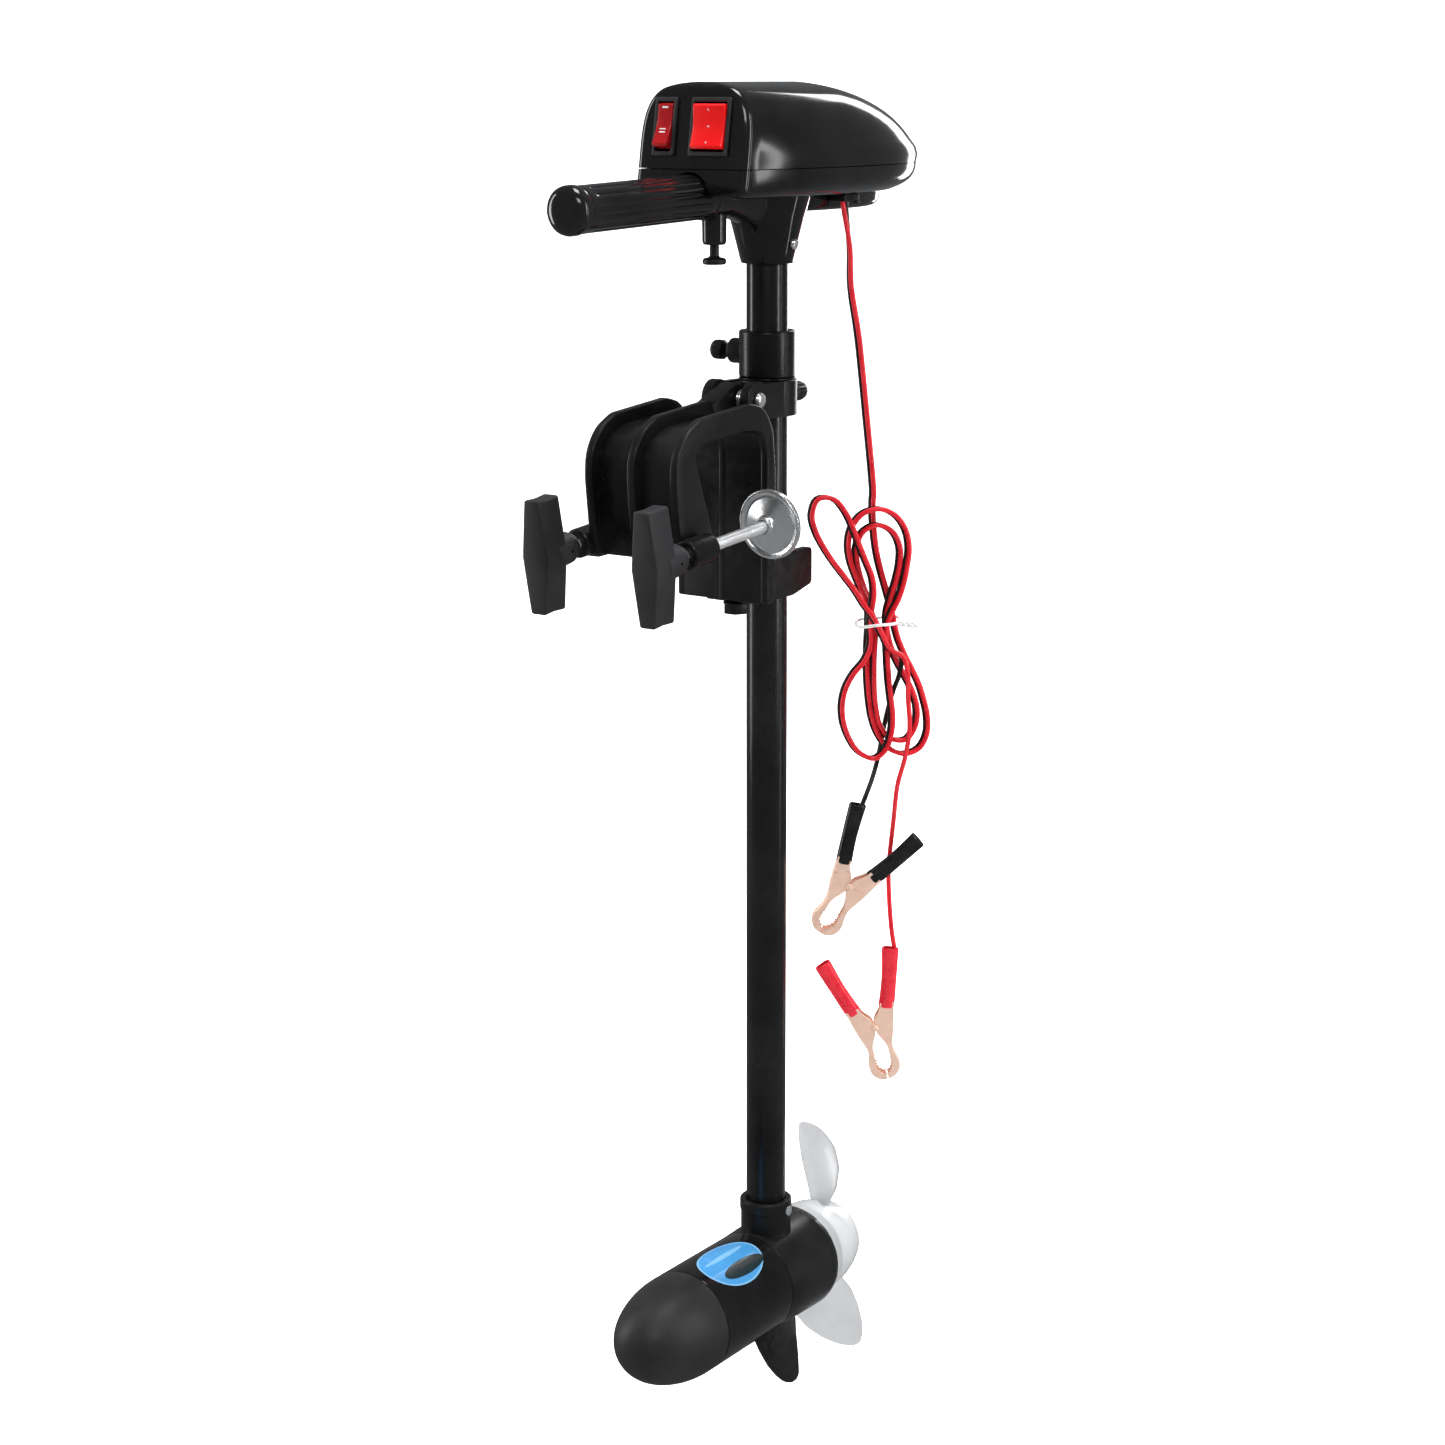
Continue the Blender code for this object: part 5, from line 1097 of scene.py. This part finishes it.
# the cable in the hanging plane: across, z, depth; the tied coil's depths are from HANG_DEPTH
CABLE_START = [(47.5, 45, 24), (48.5, 22, 29), (53.5, -8, 35), (58.5, -52, 42)]
CABLE_LOOPS = [
    (63.0, -95.4, 3.4), (63.0, -105.9, 4.6), (63.2, -116.3, 5.4), (64.2, -126.8, 5.3),
    (65.7, -137.2, 5.1), (68.1, -147.4, 5.1), (71.0, -157.5, 5.5), (73.8, -167.6, 6.0),
    (76.1, -177.8, 4.8), (78.6, -188.0, 3.9), (82.5, -197.7, 3.0), (87.2, -207.0, 2.5),
    (91.7, -216.5, 2.2), (94.9, -226.5, 1.9), (97.1, -236.8, 1.8), (97.0, -247.2, 1.7),
    (92.4, -256.5, 1.8), (82.9, -260.2, 2.2), (73.4, -256.3, 2.9), (67.2, -247.9, 3.3),
    (63.7, -238.0, 3.6), (62.0, -227.7, 3.8), (61.0, -217.2, 3.9), (60.5, -206.7, 4.2),
    (60.6, -196.2, 4.5), (61.0, -185.7, 5.3), (61.2, -175.3, 6.6), (60.4, -164.9, 6.7),
    (57.1, -155.1, 5.4), (54.3, -145.0, 4.0), (53.3, -134.7, 2.6), (56.2, -124.8, 1.2),
    (64.7, -119.4, -0.2), (74.2, -123.0, -0.1), (79.0, -132.1, 0.0), (79.1, -142.6, 0.1),
    (77.1, -152.9, 0.2), (74.2, -163.0, 0.3), (71.9, -173.1, 1.8), (72.2, -183.5, 2.8),
    (74.6, -193.7, 2.7), (78.6, -203.4, 2.4), (83.6, -212.6, 2.1), (88.2, -222.0, 1.9),
    (90.8, -232.1, 1.8), (89.9, -242.5, 1.9), (84.3, -251.2, 2.1), (74.6, -250.5, 2.7),
    (68.4, -242.2, 1.8), (65.9, -232.0, 1.3), (64.8, -221.6, 1.3), (64.5, -211.1, 1.4),
    (64.5, -200.6, 1.5), (65.0, -190.1, 1.7), (65.1, -179.6, 1.8), (61.6, -169.8, 1.6),
    (57.2, -160.3, 0.9), (53.0, -150.7, 0.7), (49.6, -140.7, 0.8), (48.4, -130.3, 0.9),
    (50.8, -120.2, 1.0), (57.4, -112.3, 0.2), (67.4, -109.8, -0.4), (76.8, -114.0, -0.6),
    (82.6, -122.7, -0.8), (84.6, -132.9, -1.1), (83.6, -143.3, -1.4), (81.7, -153.7, -1.8),
    (78.6, -163.7, -2.3), (74.1, -173.1, -3.0), (71.2, -182.9, -2.7), (72.0, -193.4, -1.8),
    (72.6, -203.8, -1.8), (73.4, -214.3, -1.9), (74.7, -224.7, -1.9), (75.9, -235.2, -2.1),
    (75.3, -245.6, -2.5), (72.3, -255.7, -2.5), (65.0, -262.3, -1.8), (55.6, -258.2, -1.5),
    (49.7, -249.6, -1.3), (46.2, -239.7, -1.3), (45.4, -229.3, -1.3), (47.4, -219.0, -1.3),
    (52.2, -209.7, -1.5), (58.7, -201.5, -1.8), (62.2, -191.8, -2.3), (62.0, -181.4, -2.8),
    (62.5, -171.0, -3.4), (63.8, -160.6, -3.2), (62.6, -150.2, -3.2), (58.7, -140.4, -3.4),
    (54.8, -130.7, -3.8), (51.0, -120.9, -4.3), (46.5, -111.5, -3.6), (39.6, -103.7, -2.9),
    (30.1, -103.6, -2.5), (26.5, -113.2, -2.5), (28.9, -123.3, -2.8), (33.7, -132.6, -3.2),
    (39.5, -141.4, -3.8), (45.9, -149.7, -4.6), (52.3, -157.9, -5.9), (57.9, -166.6, -7.4),
    (64.1, -174.9, -8.3), (68.8, -184.2, -7.5), (73.6, -193.4, -6.9), (81.9, -199.2, -4.6),
]
RED_TAIL = [(85.0, -211.2, 32.5), (85.2, -223.4, 36.1), (86.4, -242.3, 35.6), (84.0, -262.1, 39.8),
            (80.0, -281.3, 47.5), (78, -304, 50), (75.6, -330, 50.5), (75.6, -348, 50),
            (77.2, -371, 44.5), (79.6, -385.5, 42)]
BLACK_TAIL = [(79.9, -210.5, 41.0), (77.0, -221.0, 47.0), (73.6, -235.0, 51.5), (70.8, -250, 53),
              (68.2, -264, 51.5), (64.8, -276, 47.5), (60.8, -286, 43.5), (58.0, -293.0, 42)]


def battery_lead(shift, across, tail):
    """One lead: out of the head, down through the coil, and on to its clip."""
    path = [np.array((26.0, 40.5 + shift * 1.1, z)) for z in (82.0, 70.0)]
    path += [hang(x + across * min(1.0, k / 3 + 0.34), z, depth + shift)
             for k, (x, z, depth) in enumerate(CABLE_START)]
    path += [hang(x + across, z, HANG_DEPTH + depth + shift) for x, z, depth in CABLE_LOOPS]
    path += [hang(*point) for point in tail]
    return tube(catmull(path, 4), 1.5, 14)


stand("red_battery_lead", battery_lead(-LEAD_SIDE, 0.5, RED_TAIL), RED_VINYL, sharp=60)
stand("black_battery_lead", battery_lead(LEAD_SIDE, -1.15, BLACK_TAIL), BLACK_VINYL, sharp=60)

tie = tube([hang(66.5 + 13.2 * cos(a), -178 + 1.4 * cos(a) + 0.6 * sin(3 * a),
                 41.2 + 15.2 * sin(a)) for a in around(40)], 0.95, 12, closed=True)
# the tie's two free ends, twisted about each other
for length, count, swing in ((14, 22, 1.1), (10, 17, -1.1)):
    end = [hang(79.0 + t, -178.4 - 0.10 * t + swing * sin(t * 0.9), 36.5 + swing * cos(t * 0.9))
           for t in np.linspace(0, length, count)]
    tie = tie + tube(catmull(end, 2), 0.85, 10)
stand("cable_tie", tie, TIE_WHITE, sharp=60)

relief = softened(carved(brick((20.6, 32.5, 71.4), (31.4, 48.5, 76.2)),
                         brick((23.8, 36.4, 60), (28.2, 44.6, 90))), 1.0, 3, 40)
relief_stud = turned([(0, 70.4), (1.9, 70.4), (1.9, 71.6), (0, 71.6)], [0, 0.5, 0.1, 0], 24,
                     place((29.8, 47.0, 0)))
stand("strain_relief", relief + relief_stud, NYLON, sharp=34)

# ------------------------------------------------------------------ battery clips
# one jaw's edges in the clip's plane: x away from the middle, y from the rivet to the handles
JAW_OUTER = [(0.4, -34.2), (2.6, -34.0), (5.2, -33.0), (7.6, -30.9), (9.0, -28.0), (9.3, -24.8),
             (8.6, -21.4), (7.7, -17.6), (7.7, -13.4), (8.9, -9.2), (10.4, -4.8), (11.9, 0.4),
             (13.2, 5.4), (14.2, 9.6), (15.2, 13.4)]
JAW_INNER = [(6.9, 14.6), (5.9, 11.4), (4.3, 8.9), (2.6, 7.2), (1.2, 5.4), (0.35, 3.2),
             (0.35, -3.6), (1.5, -6.2), (3.6, -10.2), (4.7, -14.2), (4.7, -18.4), (5.4, -22.6),
             (5.0, -26.4), (3.4, -29.4), (0.4, -31.2)]
CHEEK_IN, CHEEK_OUT = 3.3, 4.0  # depths of a cheek's two faces
# the sleeve over a handle: distance along, half width, half thickness
SLEEVE = [(-0.6, 4.2, 4.1), (0.0, 4.75, 4.75), (0.8, 4.95, 4.9), (6, 4.9, 4.7), (12, 4.75, 4.5),
          (18, 4.7, 4.2), (24, 4.85, 3.9), (30, 5.05, 3.8), (35.6, 5.25, 3.8), (37.2, 5.3, 3.8),
          (37.6, 5.0, 3.5), (37.3, 4.5, 3.0), (30.0, 4.3, 2.9)]
# the folded metal inside it: across, depth
CHANNEL = [(-3.2, -1.7), (3.2, -1.7), (3.2, -1.0), (-2.5, -1.0), (-2.5, 1.0), (3.2, 1.0),
           (3.2, 1.7), (-3.2, 1.7)]


def jaw_spine(edge, hand, half):
    """The strip that folds the two cheeks together, along the outer edge."""
    # outward shift, depth
    profile = [(0.35, -half + 0.9), (0.47, -half * 0.4), (0.47, half * 0.4), (0.35, half - 0.9),
               (-0.1, half), (-0.45, half - 0.1), (-0.45, -half + 0.1), (-0.1, -half)]
    rows = []
    for k, point in enumerate(edge):
        along = np.array(edge[min(k + 1, len(edge) - 1)]) - np.array(edge[max(k - 1, 0)])
        along /= np.linalg.norm(along)
        outward = np.array((along[1], -along[0])) * hand
        rows.append([(*(np.array(point) + outward * shift), z) for shift, z in profile])
    return skin(rows)


def clip_jaw(hand, offset):
    """Two cheeks, their teeth and the spine; offset sets the cheeks further apart."""
    outer = [tuple(p) for p in catmull([(hand * x, y) for x, y in JAW_OUTER], 3)]
    outline = outer + [(hand * x, y) for x, y in JAW_INNER]
    near, far = CHEEK_IN + offset, CHEEK_OUT + offset
    parts = [plate(outline, near, far), plate(outline, -far, -near)]
    for k in range(7):
        y = -31.0 + 10.5 * (k / 6)
        x = np.interp(y, [-31.2, -29.4, -26.4, -22.6, -18.4], [0.6, 3.2, 4.9, 5.3, 4.8])
        tooth = [(hand * (x + 1.2), y - 0.75), (hand * (x + 1.2), y + 0.75),
                 (hand * (x - 1.52), y)]
        for low in (-far, near):
            parts.append(plate(tooth, low + 0.02, low + 0.66))
    return join(parts + [jaw_spine(outer, hand, far)])


def clip_boot(hand):
    """A slightly bent and twisted sleeve, with the handle's metal at its end."""
    lean = radians(17.5) * hand
    start = np.array((hand * 10.3, 11.2, 0.0))
    along = np.array((sin(lean), cos(lean), 0.0))
    across = np.array((cos(lean), -sin(lean), 0.0))

    def point(distance, sideways, depth):
        return start + along * distance + across * sideways + np.array((0, 0, depth))

    rows = []
    for distance, half, thick in SLEEVE:
        twist = 0.22 * hand * max(0.0, distance - 8) / 30
        bend = 0.5 * sin(pi * distance / 37) * hand
        ring = []
        for angle in around(28):
            wide = half * squared(cos(angle), 0.8)
            deep = thick * squared(sin(angle), 0.8)
            ring.append(point(distance, wide * cos(twist) - deep * sin(twist) + bend,
                              wide * sin(twist) + deep * cos(twist)))
        rows.append(ring)
    metal = skin([[point(distance, *p) for p in CHANNEL] for distance in (32.0, 36.2)])
    return skin(rows) + metal.painted(1)


# name, boot finish, rivet position, turn in degrees, side of the fixed jaw
CLIPS = [("black", BLACK_BOOT, hang(50.6, -343.0, HANG_DEPTH), 30.5, -1),
         ("red", RED_BOOT, hang(67.4, -434.0, HANG_DEPTH), -14.5, 1)]
RIVET = [(0, -5.6), (1.5, -5.4), (2.2, -4.7), (1.0, -4.6), (1.0, 4.6), (2.2, 4.7), (1.5, 5.4),
         (0, 5.6)]
for tag, vinyl, at, turn, fixed_side in CLIPS:
    clip = framed((cos(HANG_TURN), sin(HANG_TURN), 0), (0, 0, 1),
                  (sin(HANG_TURN), -cos(HANG_TURN), 0)) @ rotation(-turn, "Z")
    clip[:3, 3] = at
    for part, hand, offset in (("fixed", fixed_side, 0.0), ("moving", -fixed_side, 0.45)):
        stand(f"{tag}_clip_{part}_jaw", clip_jaw(hand, offset).at(clip), COPPER, sharp=40)
        stand(f"{tag}_clip_{part}_boot", clip_boot(hand).at(clip), vinyl, COPPER_IN, sharp=45)
    stand(tag + "_clip_rivet", turned(RIVET, 0.1, 32, clip, arc=2), COPPER, sharp=30)

# ------------------------------------------------------------------ pieces carried over
CARRIED = {
    "tilt_spring": ZINC, "motor_lead": BLACK_VINYL, "magnet_top": FERRITE,
    "magnet_bottom": FERRITE, "nose_bearing": BRASS, "rear_bearing": BRASS,
    "shaft_seal": RUBBER, "brush_holder": ACETAL, "through_bolt_left": STEEL,
    "through_bolt_right": STEEL, "socket_screw": ZINC, "armature": WINDING,
    "commutator": COPPER, "drive_pin": STEEL}
BEVELLED = ("magnet_top", "magnet_bottom", "brush_holder", "through_bolt_left",
            "through_bolt_right", "socket_screw")
for node, look in CARRIED.items():
    obj = pack["nodes"][node]
    obj.data.materials.clear()
    obj.data.materials.append(look)
    obj.data.shade_smooth()
    weld = obj.modifiers.new("weld", "WELD")
    weld.merge_threshold = 0.000005
    if node in BEVELLED:
        soft(obj, width=0.3, segments=2, angle=40)
    smooth = obj.modifiers.new("even_shading", "WEIGHTED_NORMAL")
    smooth.keep_sharp = True
    obj.data.set_sharp_from_angle(angle=radians(34))


# ------------------------------------------------------------------ set, in metres
def paper():
    """White paper that also glows a little, for camera rays only."""
    mat = finish("studio_paper", (0.90, 0.90, 0.90), rough=0.9, vary=0.01, blotch=3.0,
                 grain=300.0, grain_bump=0.01, rough_vary=0.02)
    tree = mat.node_tree
    ray = add_node(tree, "LightPath").outputs["Is Camera Ray"]
    glow = add_node(tree, "Math", {0: ray, 1: 0.8}, operation="MULTIPLY")
    shader = tree.nodes["Principled BSDF"]
    feed(tree, shader.inputs["Emission Strength"], glow.outputs[0])
    feed(tree, shader.inputs["Emission Color"], (1.0, 1.0, 1.0, 1.0))
    return mat


def studio_sweep():
    """A floor that curves up into a back wall."""
    floor, bend_start, bend = -0.592, 2.2, 1.6
    profile = [(-6.0, floor), (bend_start, floor)]
    profile += [(bend_start + bend * sin(a), floor + bend - bend * cos(a))
                for a in np.linspace(0.1, pi / 2, 14)]
    profile.append((bend_start + bend, 6.0))
    heading = Matrix.Rotation(radians(34.0), 3, "Z")
    verts = [tuple(heading @ Vector((x, y, z))) for x in (-6.0, 6.0) for y, z in profile]
    count = len(profile)
    mesh = bpy.data.meshes.new("studio_sweep")
    mesh.from_pydata(verts, [], [(i, i + 1, count + i + 1, count + i) for i in range(count - 1)])
    mesh.materials.append(paper())
    mesh.shade_smooth()
    sweep = bpy.data.objects.new("studio_sweep", mesh)
    bpy.context.scene.collection.objects.link(sweep)
    sweep.visible_glossy = False
    return sweep


def studio_world():
    """White to the camera, dim grey to everything else."""
    world = bpy.data.worlds.new("studio")
    bpy.context.scene.world = world
    world.use_nodes = True
    tree = world.node_tree
    background = tree.nodes["Background"]
    ray = add_node(tree, "LightPath").outputs["Is Camera Ray"]
    colour = add_node(tree, "Mix", {"Factor": ray, "A": (0.16, 0.165, 0.17, 1),
                                    "B": (1.0, 1.0, 1.0, 1)}, data_type="RGBA")
    feed(tree, background.inputs["Color"], colour.outputs["Result"])
    feed(tree, background.inputs["Strength"], 1.0)


def area(name, at, target, width, height, power):
    light = bpy.data.lights.new(name, "AREA")
    light.shape = "RECTANGLE"
    light.size, light.size_y = width, height
    light.energy = power
    obj = bpy.data.objects.new(name, light)
    obj.location = at
    direction = Vector(target) - Vector(at)
    obj.rotation_euler = direction.to_track_quat("-Z", "Y").to_euler()
    bpy.context.scene.collection.objects.link(obj)
    obj.visible_camera = False
    return obj


def up(height):
    return Vector((0, 0, height))


studio_sweep()
studio_world()

# the camera's place and axes, and the middle of the product
EYE = Vector(np.array((0.893578, -1.343210, 0.139768)) + OFFSET * MILLIMETRE)
FORWARD = Vector((-0.55285015, 0.80262464, -0.22394283))
RIGHT = Vector((0.82378663, 0.5668968, -0.00189878))
UPWARD = Vector((-0.12542846, 0.18553085, 0.97460043))
CENTRE = Vector((0.0, 0.05, -0.16))

area("overhead_softbox", at=(0.15, 0.15, 1.9), target=(0.0, 0.05, 0.1),
     width=0.9, height=0.6, power=20)
area("window_strip", at=(1.56, 0.93, 0.10), target=(0.0, 0.0, 0.05),
     width=0.06, height=1.9, power=2.4)
area("side_strip", at=CENTRE + RIGHT * 1.55 - FORWARD * 0.75 + up(0.35),
     target=CENTRE + up(-0.1), width=0.12, height=1.5, power=9)
area("left_softbox", at=CENTRE - RIGHT * 1.9 + FORWARD * 0.35 + up(0.4), target=CENTRE,
     width=0.35, height=1.6, power=13)
area("front_fill", at=EYE + Vector((0.2, -0.3, 1.2)), target=CENTRE,
     width=0.9, height=0.6, power=12)
area("back_rim", at=CENTRE + FORWARD * 1.5 + RIGHT * 0.8 + up(0.9), target=CENTRE,
     width=0.35, height=1.6, power=12)
paper_wash = area("paper_wash", at=CENTRE + FORWARD * 0.6 + up(2.6),
                  target=CENTRE + FORWARD * 1.6 + up(-0.6), width=3.0, height=2.0, power=150)
paper_wash.visible_glossy = False

camera_data = bpy.data.cameras.new("camera")
camera_data.sensor_width = 36.0
camera_data.lens = 69.76
camera = bpy.data.objects.new("camera", camera_data)
axes = Matrix((RIGHT, UPWARD, -FORWARD)).transposed().to_4x4()
camera.matrix_world = Matrix.Translation(EYE) @ axes
bpy.context.scene.collection.objects.link(camera)
bpy.context.scene.camera = camera
bpy.context.scene.view_settings.view_transform = "Standard"
